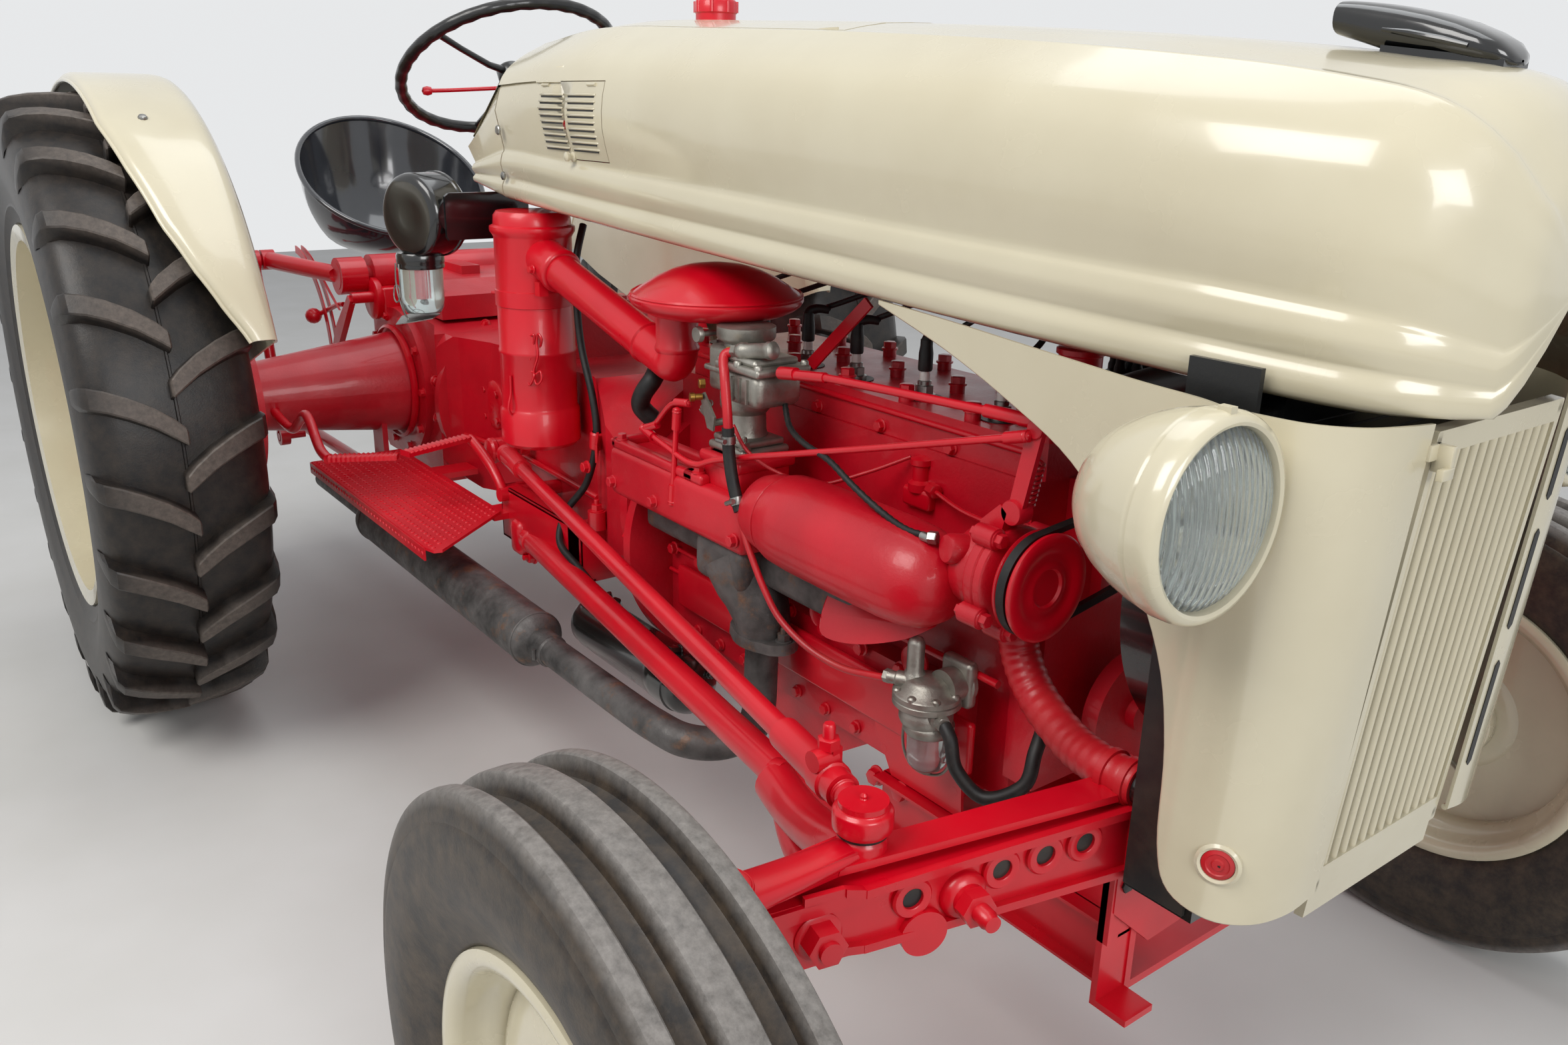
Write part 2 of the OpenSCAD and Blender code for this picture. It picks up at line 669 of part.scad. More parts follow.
module air_cleaner() {
    color(red) union() {
        translate([800, -195, 0]) {
            z_bar([0, 0, 665], 400, 66);
            z_bar([0, 0, 655], 70, 70);
            z_bar([0, 0, 1030], 8, 72);
        }
        bar([830, -200, 995], [1245, -192, 878], 30);
        translate([1250, -190, 872]) sphere(31);
        z_bar([1254, -190, 872], 100, 31);
        translate([1320, -165, 0]) rotate_extrude($fn = 72) polygon([
            [0, 962 + seat_gap], [108, 962 + seat_gap], [122, 980], [118, 990], [72, 1020], [0, 1030]]);
    }
}

module pre_cleaner() {
    color(black) union() {
        span([690, -300, 1010], [696, -150, 1085]);
        x_bar([600, -285, 1050], 92, 32);
        translate([610, -300, 1046]) rotate([90, 0, 20]) translate([0, 0, -30]) cylinder(h = 80, r = 72);
    }
}

module glassware() {
    color(clear_glass) {
        z_bar([600, -320, 870], 103.6, 38);
        z_bar([1826, -196, 480], 60, 26);
        both_sides() translate([2264 + seat_gap, -337, 945]) rotate([0, 90, 0]) cylinder(h = 12, r = 72);
    }
}

module governor() {
    color(red) union() {
        x_bar([1880, -190, 762], 58, 45);
        span([1886, -160, 722], [1920, -120 - seat_gap, 790]);
        x_bar([1935, -190, 762], 40, 14);
        x_bar([1955, -190, 762], 28, 58);
        bar([1892, -200, 795], [1880, -200, 905], 8);
    }
}

module fuel_pump() {
    color(grey) union() {
        span([1800, -170, 565], [1860, manifold_y - 36, 620]);
        z_bar([1826, -196, 541], 60, 34);
        bar([1787, -190, 600], [1787, -185, 650], 10);
    }
}

module starter_generator() {
    color(black) {
        x_bar([987, -205, 380], 340, 46);
        x_bar([1300, 195, 640], 300, 62);
    }
}

module radiator() {
    color(black) union() {
        span([2140, -205, 516], [2205, 205, 1000]);
        span([2136, -215, 500], [2215, 215, 560]);
        x_bar([2125, -190, 598], 16, 19);
        span([2130, -180, 985], [2210, 180, 1056]);
        difference() {
            x_bar([2085, 0, 790], 56, 203);
            x_bar([2080, 0, 790], 70, 192);
        }
    }
}

module hoses() {
    color(red) sweep(smooth([[1908, -150, 721], [1910, -150, 690], [1920, -150, 652], [1954, -156, 616],
        [2020, -176, 598], [2075, -190, 598], [2124, -190, 598]], 5), 21, [0, 1, 0], 12);
    color(black) sweep(smooth([[1862, -206.5, 561.5], [1878, -212, 548], [1896, -216, 515],
        [1935, -204, 494], [1966, -180, 520], [1962, -162, 556], [1954, -140, 575]], 4), 8, [0, 1, 0], 8);
}

module control_rods() {
    color(red) {
        bar([1500, -250.8, 850], [1874.2, -201.4, 878], 4);
        bar([1400, -233.2, 930], [1872.4, -201.4, 895], 4);
    }
}

// Sheet metal. Columns: x, half width at the sill, half width at the waist, sill, crease y,
// crease z, crown z
hood_stations = [
    [741, 214, 226, 1079, 128, 1330, 1346],
    [986, 224, 238, 1068, 150, 1345, 1363],
    [1270, 230, 240, 1056, 150, 1335, 1353],
    [1555, 231, 240, 1044, 150, 1322, 1340],
    [1850, 228, 237, 1031, 150, 1304, 1322],
    [2080, 214, 224, 1020, 148, 1284, 1303],
    [2200, 198, 207, 1014, 142, 1268, 1289],
    [2275, 174, 182, 1010, 130, 1250, 1277],
    [2315, 134, 142, 1008, 104, 1218, 1250],
    [2335, 88, 94, 1006, 72, 1180, 1212]];

// Points of a hood section on the right-hand side, from the sill to the crown, drawn in by t
function hood_half(s, t) =
    let (sill = s[1] - t, waist = s[2] - t, z0 = s[3], cy = s[4], cz = s[5] - t, top = s[6] - t,
         h = cz - z0, k = min(1, h / 260))
    [[sill - 8, z0], [sill + 2, z0 + 6 * k], [sill + 5, z0 + 22 * k], [sill, z0 + 36 * k],
     [sill + 2, z0 + 44 * k], [sill + 6, z0 + 60 * k], [sill + 3, z0 + 76 * k], [sill - 1, z0 + 88 * k],
     [waist - 1, z0 + 0.5 * h], [waist - 4, z0 + 0.68 * h], [lerp(waist, cy, 0.22), z0 + 0.82 * h],
     [lerp(waist, cy, 0.55), z0 + 0.92 * h], [cy + 8, cz - 2], [cy, cz + 2], [cy - 12, cz + 3],
     [cy * 0.5, lerp(cz, top, 0.8)]];
function lerp(a, b, k) = a + (b - a) * k;
function hood_row(s, x, t) =
    let (half = hood_half(s, t))
    concat([for (p = half) [x, -p[0], p[1]]], [[x, 0, s[6] - t]],
           [for (i = [len(half) - 1:-1:0]) [x, half[i][0], half[i][1]]]);

module hood_body() {
    last = len(hood_stations) - 1;
    outer = [for (s = hood_stations) hood_row(s, s[0], 0)];
    inner = [for (i = [0:last]) hood_row(hood_stations[i],
        hood_stations[i][0] - sheet_t * pow(i / last, 3), sheet_t)];
    sheet(outer, inner, capped = 1);
}

hatch = [990, 1552, 138];
door = [903, 1135, 1155, 1266];
module hood() {
    color(cream) difference() {
        hood_body();
        span([hatch[0], -hatch[2], 1290], [hatch[1], hatch[2], 1400]);
        span([door[0], -260, door[2]], [door[1], -200, door[3]]);
    }
}

module hood_hatch() {
    color(cream) difference() {
        intersection() {
            sheet([for (s = hood_stations) hood_row(s, s[0], 0)],
                  [for (s = hood_stations) hood_row(s, s[0], sheet_t)]);
            span([hatch[0] + 1, -hatch[2] + 1, 1290], [hatch[1] - 1, hatch[2] - 1, 1400]);
        }
        z_bar([1070, 0, 1300], 100, 36);
    }
}

module louvre_door() {
    color(cream) intersection() {
        sheet([for (s = hood_stations) hood_row(s, s[0], 0)],
              [for (s = hood_stations) hood_row(s, s[0], sheet_t)]);
        span([door[0] + 1, -260, door[2] + 1], [door[1] - 1, -200, door[3] - 1]);
    }
}

// Side panels. Columns: x, y, bottom, top
panel_columns = [
    [1737, -228, 1032, 1036], [1850, -232, 1000, 1030], [1950, -238, 965, 1024],
    [2040, -244, 925, 1019], [2110, -248, 862, 1015], [2160, -250, 775, 1013],
    [2182, -252, 690, 1011], [2191, -252, 590, 1011], [2208, -250, 548, 1010],
    [2245, -240, 535, 1009], [2272, -210, 532, 1008], [2284, -170, 534, 1007],
    [2285, -grille_half_w - 10, 540, 1004]];
module side_panels() {
    steps = 5;
    function column(c, t) = [for (k = [0:steps])
        let (z = lerp(c[2], c[3], k / steps), lean = (z - 530) * 0.06 * max(0, (c[0] - 2100) / 190))
        [c[0] - t + lean, c[1] + t, z]];
    color(cream) both_sides()
        sheet([for (c = panel_columns) column(c, 0)],
              [for (i = [0:len(panel_columns) - 1])
                  column(panel_columns[i], sheet_t * (i < 7 ? 0.7 : 1))]);
}

module grille() {
    pitch = (2 * grille_half_w - 16) / grille_bars;
    lean = atan2(grille_head[0] - grille_foot[0], grille_head[1] - grille_foot[1]);
    tall = grille_head[1] - grille_foot[1];
    color(cream) translate([grille_foot[0], 0, grille_foot[1]]) rotate([0, lean, 0]) union() {
        translate([-10, -grille_half_w + 1, 0]) cube([14, 2 * grille_half_w - 2, 60]);
        translate([-10, -grille_half_w + 1, tall - 26]) cube([14, 2 * grille_half_w - 2, 22]);
        for (s = [-1, 1]) translate([-10, s * (grille_half_w - 5) - 4, 0]) cube([14, 8, tall - 4]);
        for (i = [0:grille_bars - 1])
            translate([-3, -grille_half_w + 8 + pitch * (i + 0.5), 50]) cylinder(h = tall - 70, r = 6);
    }
}

module hood_scoop() {
    color(black) union() {
        side_plate(-34, 34, [[2150, 1295.4], [2200, 1289.4], [2262, 1280.6], [2266, 1289],
            [2250, 1303], [2225, 1315], [2180, 1328], [2120, 1338], [2114, 1335], [2126, 1303],
            [2138, 1298]]);
    }
}

module lamps() {
    color(cream) union() {
        both_sides() {
            translate([2264, -337, 945]) rotate([0, -90, 0]) rotate_extrude($fn = 64) polygon([
                [0, 0], [headlight_r - 6, 0], [headlight_r, 8], [headlight_r, 24], [80, 55],
                [62, 95], [30, 118], [0, 121]]);
            y_bar([2205, -300, 945], 47.2, 18);
        }
        translate([60, 452, 1200]) rotate([0, -90, 0]) rotate_extrude($fn = 48) polygon([
            [0, 0], [55, 0], [58, 12], [40, 60], [0, 80]]);
        y_bar([48, 495, 1200], fender_y - seat_gap - 495, 8);
    }
}

function cowl_station(x) = let (back = hood_stations[0][0] - x, h = hood_stations[0])
    [x, h[1] - 0.02 * back, h[2] - 0.03 * back, h[3] + 0.15 * back, h[4] - 0.3 * back,
     h[5] - 0.95 * back, h[6] - 0.95 * back];
module dash() {
    rows = [610, 650, 695, 740.7];
    color(cream)
        sheet([for (x = rows) hood_row(cowl_station(x), x, 0)],
              [for (x = rows) hood_row(cowl_station(x), x + (x == rows[0] ? sheet_t : 0), sheet_t)],
              capped = -1);
}

module steering_column() {
    down = [sin(steering_tilt), 0, -cos(steering_tilt)];
    color(black) bar(wheel_hub + 15 * down, wheel_hub + 330 * down, 20);
}

module fuel_tank() {
    color(red) union() {
        span([900, -190, 1080], [1500, 190, 1290]);
        for (x = [1000, 1400]) span([x, -232, 1200], [x + 40, 232, 1212]);
    }
    color(red) z_bar([1070, 0, 1290], 70, 22);
    color(red) z_bar([1070, 0, 1360], 29, 30);
}

module steering_wheel() {
    color(black) translate(wheel_hub) rotate([0, -steering_tilt, 0]) {
        rotate_extrude($fn = 96) translate([steering_wheel_r, 0]) circle(steering_rim_r);
        translate([0, 0, -14]) cylinder(h = 30, r = 34);
        for (i = [0:2]) rotate([0, 0, 60 + i * 120])
            translate([20, 0, 0]) rotate([0, 90, 0]) cylinder(h = steering_wheel_r - 20, r = 6.5);
    }
}

module seat() {
    // A deep bowl, cut low in front and high at the back
    w = seat_half_w;
    color(black) translate([-385, 0, 862 + seat_gap]) difference() {
        rotate_extrude($fn = 64) polygon([
            [0, 0], [100, 5], [165, 32], [w - 32, 85], [w - 12, 150], [w - 3, 230], [w, 330],
            [w - 6, 330], [w - 9, 231], [w - 18, 153], [w - 38, 91], [161, 39], [98, 11], [0, 6]]);
        translate([w + 5, 0, 22]) rotate([0, 33, 0]) translate([-900, -400, 0]) cube([1300, 800, 700]);
        for (a = [0:3]) rotate([0, 0, 45 + a * 90]) translate([70, 0, -20]) cylinder(h = 80, r = 11);
    }
}

// Inner face of a fender's skirt, which seats round the brake drum
fender_y = rear_tyre_y - 169;
module fenders() {
    edge = fender_y + fender_w;
    color(cream) both_sides() intersection() {
        translate([0, 0, rear_axle_z]) turn_y([
            [fender_r - 34, fender_y], [fender_r - 12, fender_y + 8], [fender_r - 2, fender_y + 24],
            [fender_r, fender_y + 42], [fender_r, edge - 30], [fender_r - 12, edge],
            [fender_r - 18, edge], [fender_r - 6, edge - 33], [fender_r - 6, fender_y + 42],
            [fender_r - 8, fender_y + 27], [fender_r - 17, fender_y + 14],
            [fender_r - 36, fender_y + 6], [drum_r + seat_gap, fender_y + 6],
            [drum_r + seat_gap, fender_y]]);
        // Side view: open below, with the front end low over the axle
        translate([0, 0, rear_axle_z]) rotate([90, 0, 0]) translate([0, 0, fender_y - 50])
            linear_extrude(fender_w + 100) polygon([[-720, 262], [-540, 205], [-230, 110], [230, 110],
                [540, 205], [720, 262], [720, 700], [-720, 700]]);
        // Plan view: both ends taper to the skirt
        translate([0, 0, rear_axle_z]) linear_extrude(800) polygon([for (q = [
            [-720, -16], [-660, 24], [-612, 49], [-553, 106], [-502, 136], [-409, 162], [-250, 190],
            [250, 190], [409, 162], [502, 136], [553, 106], [590, 74], [612, 46], [660, 24], [720, -16],
            [720, -76], [-720, -76]]) [q.x, -fender_y - q.y]]);
    }
}

module running_boards() {
    color(red) both_sides() {
        side_plate(-430, -250, [[170, 500], [760, 500], [760, 506], [170, 506]]);
        span([330, -252, 492], [390, -150.3, 499.7]);
        span([640, -252, 492], [700, -111.3, 499.7]);
    }
    color(red) {
        span([500, -480, 590], [565, -380, 600]);
        span([560, -370, 610], [625, -260, 620]);
        bar([530, -385, 592], [420, -200, 560], 9);
        bar([590, -265, 612], [440, -190, 560], 9);
        y_bar([420, -215, 556], 90.5, 14);
    }
}

module fan() {
    color(red) translate([2060, 0, 790]) rotate([0, 90, 0]) difference() {
        union() {
            translate([0, 0, -40]) cylinder(h = 60, r = 38);
            for (i = [0:3]) rotate([0, 0, i * 90]) translate([30, -28, -2]) rotate([25, 0, 0])
                cube([152, 60, 3]);
        }
        translate([0, 0, -60]) cylinder(h = 60, r = 10 + pin_gap);
    }
}

// Three-point hitch
lift_end = [lift_x - lift_arm_len * cos(lift_rise), 0, lift_z + lift_arm_len * sin(lift_rise)];
link_pin = [link_pivot_x - rod_along * cos(link_rise), 0, link_pivot_z + rod_along * sin(link_rise)];
module lift_arms() {
    end = lift_end;
    color(red) both_sides() difference() {
        union() {
            y_bar([lift_x, -250, lift_z], 60, 42);
            bar([lift_x, -232, lift_z], [end.x, -lift_y, end.z], 20);
            y_bar([end.x, -lift_y - 42, end.z], 60, 13);
            y_bar([end.x, -lift_y - 14, end.z], 30, 24);
        }
        y_bar([lift_x, -260, lift_z], 90, 22 + pin_gap);
    }
    color(red) y_bar([lift_x, -251, lift_z], 1, 30);
}

module lift_rods() {
    top = lift_end - [0, lift_y + 30, 0];
    low = link_pin - [0, lift_y + 30, 0];
    color(red) both_sides() difference() {
        union() {
            bar(top, low, 13);
            y_bar(top - [0, 11, 0], 22, 24);
            y_bar(low - [0, 11, 0], 22, 22);
        }
        y_bar(top - [0, 20, 0], 40, 13 + pin_gap);
        // Play that lets the rod stay upright while the arm and the link swing
        translate([-2.7, 0, 0.3]) y_bar(low - [0, 20, 0], 40, 13.3);
    }
}

module lower_links() {
    tip = [link_pivot_x - lower_link_len * cos(link_rise), 0,
           link_pivot_z + lower_link_len * sin(link_rise)];
    color(red) both_sides() difference() {
        union() {
            y_bar([link_pivot_x, -272, link_pivot_z], 28, 26);
            bar([link_pivot_x - 20, -258, link_pivot_z], [tip.x + 15, -lift_y, tip.z], 14);
            y_bar([link_pin.x, -lift_y - 42, link_pin.z], 62, 9);
            y_bar([tip.x, -lift_y - 22, tip.z], 44, 22);
        }
        y_bar([link_pivot_x, -290, link_pivot_z], 60, 14 + pin_gap);
        y_bar([tip.x, -lift_y - 40, tip.z], 80, link_ball_bore_r);
    }
}

place() transmission_case();
place() rear_axle_housing();
place() lift_cover();
place() engine_block();
place() cylinder_head();
place() ignition();
place() spark_leads();
place() intake_manifold();
place() exhaust();
place() carburettor();
place() air_cleaner();
place() pre_cleaner();
place() glassware();
place() governor();
place() fuel_pump();
place() starter_generator();
place() radiator();
place() hoses();
place() control_rods();
place() front_support();
place() front_axle();
place() hood();
place() side_panels();
place() hood_scoop();
place() lamps();
place() dash();
place() steering_column();
place() fuel_tank();
place() seat();
place() fenders();
place() running_boards();
place() grille();
place() hood_hatch();
place() louvre_door();
place() fan();
place() steering_wheel();
place() pitman_arm(RIGHT);  // pitman_arm_right
place() pitman_arm(LEFT);  // pitman_arm_left
place() drag_link(RIGHT);  // drag_link_right
place() drag_link(LEFT);  // drag_link_left
place() spindle(RIGHT);  // spindle_right
place() spindle(LEFT);  // spindle_left
place() front_wheel(RIGHT);  // front_wheel_right
place() front_wheel(LEFT);  // front_wheel_left
place() front_tyre(RIGHT);  // front_tyre_right
place() front_tyre(LEFT);  // front_tyre_left
place() rear_wheel(RIGHT);  // rear_wheel_right
place() rear_wheel(LEFT);  // rear_wheel_left
place() rear_tyre(RIGHT);  // rear_tyre_right
place() rear_tyre(LEFT);  // rear_tyre_left
place() lift_arms();
place() lift_rods();
place() lower_links();
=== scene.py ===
import json
import math
import bpy
import bmesh
from mathutils import Matrix, Vector


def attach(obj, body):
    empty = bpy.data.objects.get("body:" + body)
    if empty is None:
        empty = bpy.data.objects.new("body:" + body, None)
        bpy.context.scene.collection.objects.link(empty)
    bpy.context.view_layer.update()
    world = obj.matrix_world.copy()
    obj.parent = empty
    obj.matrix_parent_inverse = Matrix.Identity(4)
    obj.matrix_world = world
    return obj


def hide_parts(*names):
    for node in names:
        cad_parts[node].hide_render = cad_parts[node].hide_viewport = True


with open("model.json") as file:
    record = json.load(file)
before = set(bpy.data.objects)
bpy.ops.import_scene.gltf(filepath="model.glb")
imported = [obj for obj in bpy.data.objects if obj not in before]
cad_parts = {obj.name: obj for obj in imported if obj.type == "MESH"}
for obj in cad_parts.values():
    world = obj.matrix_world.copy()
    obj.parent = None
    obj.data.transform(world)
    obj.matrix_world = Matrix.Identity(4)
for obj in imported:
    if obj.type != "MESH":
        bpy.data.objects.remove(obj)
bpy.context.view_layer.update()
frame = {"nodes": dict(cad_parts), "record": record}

NODES = frame["nodes"]
MID_X = 775.0          # the source's middle, so that its millimetres can be used here


def L(x, y, z):
    """A point in the source's own millimetres, in the row frame."""
    return Vector(((x - MID_X) / 1000, y / 1000, z / 1000))


# Materials
def rgb(h, gain=1.0):
    """A linear colour from a hex code."""
    v = [int(h[i:i + 2], 16) / 255 for i in (0, 2, 4)]
    v = [c / 12.92 if c <= 0.04045 else ((c + 0.055) / 1.055) ** 2.4 for c in v]
    return (v[0] * gain, v[1] * gain, v[2] * gain, 1)


class Maker:
    """Builds one node material around a Principled shader."""

    def __init__(self, name, metallic=0.0, coat=0.0, coat_rough=0.05, spec=0.5):
        self.mat = bpy.data.materials.new(name)
        self.mat.use_nodes = True
        self.t = self.mat.node_tree
        self.b = self.t.nodes["Principled BSDF"]
        self.b.inputs["Metallic"].default_value = metallic
        self.b.inputs["Coat Weight"].default_value = coat
        self.b.inputs["Coat Roughness"].default_value = coat_rough
        self.b.inputs["Specular IOR Level"].default_value = spec
        self.co = self.t.nodes.new("ShaderNodeTexCoord").outputs["Object"]
        self.heights = []

    def link(self, a, b):
        self.t.links.new(a, b)

    def feed(self, socket, value):
        """Links an output to a socket, or sets a plain value on it."""
        if hasattr(value, "is_linked"):
            self.link(value, socket)
        else:
            socket.default_value = value

    def split(self, vector):
        s = self.t.nodes.new("ShaderNodeSeparateXYZ")
        self.link(vector, s.inputs[0])
        return s.outputs

    def between(self, value, start, end, first, last):
        """first where value is at start, last where it is at end, and a straight run between."""
        m = self.t.nodes.new("ShaderNodeMapRange")
        for i, v in enumerate((value, start, end, first, last)):
            self.feed(m.inputs[i], v)
        return m.outputs[0]

    def noise(self, scale, detail, rough=0.55):
        n = self.t.nodes.new("ShaderNodeTexNoise")
        for socket, v in (("Scale", scale), ("Detail", detail), ("Roughness", rough), ("Vector", self.co)):
            self.feed(n.inputs[socket], v)
        return n.outputs["Fac"]

    def ramp(self, fac, stops):
        r = self.t.nodes.new("ShaderNodeValToRGB")
        e = r.color_ramp.elements
        while len(e) < len(stops):
            e.new(0.5)
        for i, (p, c) in enumerate(stops):
            e[i].position = p
            e[i].color = c if hasattr(c, "__len__") else (c, c, c, 1)
        self.link(fac, r.inputs[0])
        return r.outputs[0]

    def mix(self, fac, a, b):
        m = self.t.nodes.new("ShaderNodeMix")
        m.data_type = "RGBA"
        for i, v in ((0, fac), (6, a), (7, b)):
            self.feed(m.inputs[i], v)
        return m.outputs[2]

    def math(self, op, a, b=0.0):
        m = self.t.nodes.new("ShaderNodeMath")
        m.operation = op
        self.feed(m.inputs[0], a)
        self.feed(m.inputs[1], b)
        return m.outputs[0]

    def times(self, a, b):
        return self.math("MULTIPLY", a, b)

    def plus(self, a, b):
        return self.math("ADD", a, b)

    def up(self):
        """1 on surfaces that face up, 0 on those that face down."""
        g = self.t.nodes.new("ShaderNodeNewGeometry")
        return self.math("MAXIMUM", self.split(g.outputs["Normal"])[2], 0.0)

    def low(self, z0, z1):
        """1 below the height z0, 0 above z1."""
        return self.between(self.split(self.co)[2], z0, z1, 1.0, 0.0)

    def radius(self, hub):
        """Distance from a wheel's axle line at hub (x, z)."""
        place = self.split(self.co)
        x = self.math("SUBTRACT", place[0], hub[0])
        z = self.math("SUBTRACT", place[2], hub[1])
        return self.math("SQRT", self.plus(self.times(x, x), self.times(z, z)))

    def bump(self, height, strength, distance):
        n = self.t.nodes.new("ShaderNodeBump")
        n.inputs["Strength"].default_value = strength
        n.inputs["Distance"].default_value = distance
        self.link(height, n.inputs["Height"])
        if self.heights:
            self.link(self.heights[-1], n.inputs["Normal"])
        self.heights.append(n.outputs[0])

    def done(self, colour, rough):
        self.feed(self.b.inputs["Base Color"], colour)
        self.feed(self.b.inputs["Roughness"], rough)
        if self.heights:
            self.link(self.heights[-1], self.b.inputs["Normal"])
        return self.mat


def paint(name, colour, shade, rough=(0.2, 0.4), coat=0.6, grain=0.03, cast=0.0, dirt=0.12,
          dirt_colour="7d6c58", dirt_z=(0.3, 1.0)):
    """Sprayed paint: faint clouds of shade, orange peel, cast grain under it, and dust that settles low."""
    m = Maker(name, coat=coat, coat_rough=0.08)
    cloud = m.ramp(m.noise(5, 4), [(0.3, rgb(shade)), (0.62, rgb(colour))])
    specks = m.ramp(m.noise(260, 2, 0.7), [(0.66, 0.0), (0.78, 1.0)])
    dust = m.times(m.ramp(m.noise(14, 5, 0.65), [(0.42, 0.0), (0.72, 1.0)]),
                  m.times(m.low(*dirt_z), dirt * 2.2))
    settled = m.times(m.times(m.up(), dirt),
                     m.ramp(m.noise(40, 4), [(0.35, 0.1), (0.7, 1.0)]))
    grime = m.math("MINIMUM", m.plus(m.plus(dust, settled),
                                     m.times(specks, dirt * 0.5)), 0.8)
    base = m.mix(grime, cloud, rgb(dirt_colour))
    shine = m.plus(m.ramp(m.noise(9, 4), [(0.3, rough[0]), (0.7, rough[1])]),
                   m.times(grime, 0.5))
    m.bump(m.noise(420, 2), grain, 0.0006)
    if cast:
        m.bump(m.noise(150, 4, 0.7), cast, 0.0012)
    return m.done(base, shine)


def rubber_material(name, colour, dust, amount, rough, grain, scale):
    """Hose rubber with dust in worn patches."""
    m = Maker(name, spec=0.4)
    worn = m.ramp(m.noise(scale, 6, 0.65), [(0.4, 0.0), (0.66, 1.0)])
    fine = m.ramp(m.noise(180, 3, 0.7), [(0.35, 0.35), (0.7, 1.0)])
    fac = m.times(m.times(worn, fine), amount)
    base = m.mix(fac, m.ramp(m.noise(8, 3), [(0.3, rgb(colour)), (0.7, rgb(colour, 1.7))]), rgb(dust))
    m.bump(m.noise(320, 4, 0.7), grain, 0.0009)
    m.bump(m.noise(38, 3), grain * 0.5, 0.002)
    return m.done(base, m.plus(m.times(fac, 0.3), rough))


def tread(name, hub, crest, black, groove, worn, gloss):
    """A tyre's rubber: dust in the grooves and on the walls, and a greyer band where the tread wears."""
    m = Maker(name, spec=0.4)
    top = m.between(m.radius(hub), crest[0], crest[1], 0.0, 1.0)
    dust = m.times(m.ramp(m.noise(42, 6, 0.72), [(0.36, 0.12), (0.7, 0.75)]),
                  m.math("SUBTRACT", 1.0, m.times(top, 0.6)))
    base = m.mix(dust, m.ramp(m.noise(8, 3), [(0.3, rgb(black)), (0.7, rgb(black, 1.5))]), rgb(groove))
    rubbed = m.times(top, m.ramp(m.noise(95, 5, 0.7), [(0.3, 0.35), (0.7, 0.85)]))
    m.bump(m.noise(320, 4, 0.7), 0.3, 0.0009)
    m.bump(m.noise(38, 3), 0.15, 0.002)
    return m.done(m.mix(rubbed, base, rgb(worn)), m.plus(m.times(top, 0.15), gloss))


def metal(name, colour, shade, rough, metallic, grain, scale, rust=None, rust_share=(0.5, 0.7)):
    """Bare or cast metal, with patches of rust where a rust colour is given."""
    m = Maker(name, metallic=metallic)
    base = m.ramp(m.noise(scale / 5, 5, 0.6), [(0.3, rgb(shade)), (0.7, rgb(colour))])
    if rust:
        patches = m.ramp(m.noise(scale / 3, 6, 0.7), [(rust_share[0], 0.0), (rust_share[1], 1.0)])
        base = m.mix(patches, base, m.ramp(m.noise(scale * 3, 3), [(0.3, rgb(rust, 0.6)), (0.7, rgb(rust))]))
    m.bump(m.noise(scale * 4, 4, 0.7), grain, 0.0009)
    return m.done(base, m.ramp(m.noise(scale, 4), [(0.3, rough[0]), (0.7, rough[1])]))


cream = paint("cream_enamel", "ccc4aa", "c6bda2", rough=(0.16, 0.3), coat=0.6, grain=0.015, dirt=0.05,
              dirt_z=(0.2, 0.8))
red = paint("red_enamel", "d2021d", "bd0119", rough=(0.25, 0.42), coat=0.22, grain=0.03, dirt=0.05,
    dirt_colour="6e2420")
red_cast = paint("red_cast", "cd0420", "aa0319", rough=(0.3, 0.5), coat=0.2, grain=0.03, cast=0.35, dirt=0.08,
                 dirt_colour="6e2a24")
black_gloss = paint("black_enamel", "0d0e10", "08090a", rough=(0.12, 0.3), coat=0.7, dirt=0.04)
black_satin = paint("black_satin", "141516", "0c0d0d", rough=(0.4, 0.6), coat=0.1, cast=0.15, dirt=0.1)
iron = metal("burnt_iron", "6e6a68", "2b2928", rough=(0.4, 0.65), metallic=0.5, grain=0.5, scale=70,
             rust="80604c", rust_share=(0.55, 0.7))
grey_cast = metal("grey_casting", "8c8a83", "6a6862", rough=(0.4, 0.6), metallic=0.75, grain=0.4, scale=80)
carb_grey = metal("pot_metal", "a5a29a", "7f7c74", rough=(0.32, 0.5), metallic=0.8, grain=0.35, scale=110)
brass = metal("brass", "b08a45", "8a6a35", rough=(0.3, 0.45), metallic=0.95, grain=0.1, scale=90)
porcelain = paint("porcelain", "eceae4", "e2dfd8", rough=(0.12, 0.25), coat=0.5, dirt=0.03)
steel = metal("bare_steel", "a9a8a4", "7d7c79", rough=(0.25, 0.42), metallic=0.95, grain=0.1, scale=90)
tyre_black = tread("rear_tread", (-0.775, 0.620), (0.598, 0.619), "0c0c0e", "352d26", "6a6058", 0.4)
tread_worn = tread("front_tread", (1.255, 0.362), (0.346, 0.360), "131315", "544739", "8f8a85", 0.45)
hose_black = rubber_material("hose_rubber", "0e0f10", "4a443c", 0.25, 0.5, 0.15, 60)
plastic = paint("black_bakelite", "0b0b0c", "070708", rough=(0.25, 0.4), coat=0.3, dirt=0.05)
hose_red = paint("red_hose", "c4061c", "a00418", rough=(0.35, 0.5), coat=0.1, cast=0.2, dirt=0.08)
# The seat is black gloss; its blue-grey base colours are a painted reflection of the pale sky, on top of the real
# gloss coat.
seat_black_painted_sky_reflection = paint("seat_enamel_painted_reflection", "2f3238", "24262b", rough=(0.1, 0.2), coat=0.9, grain=0.015, dirt=0.04)
mirror = metal("lamp_reflector", "d6d6d2", "bfbfba", rough=(0.12, 0.22), metallic=1.0, grain=0.03, scale=40)


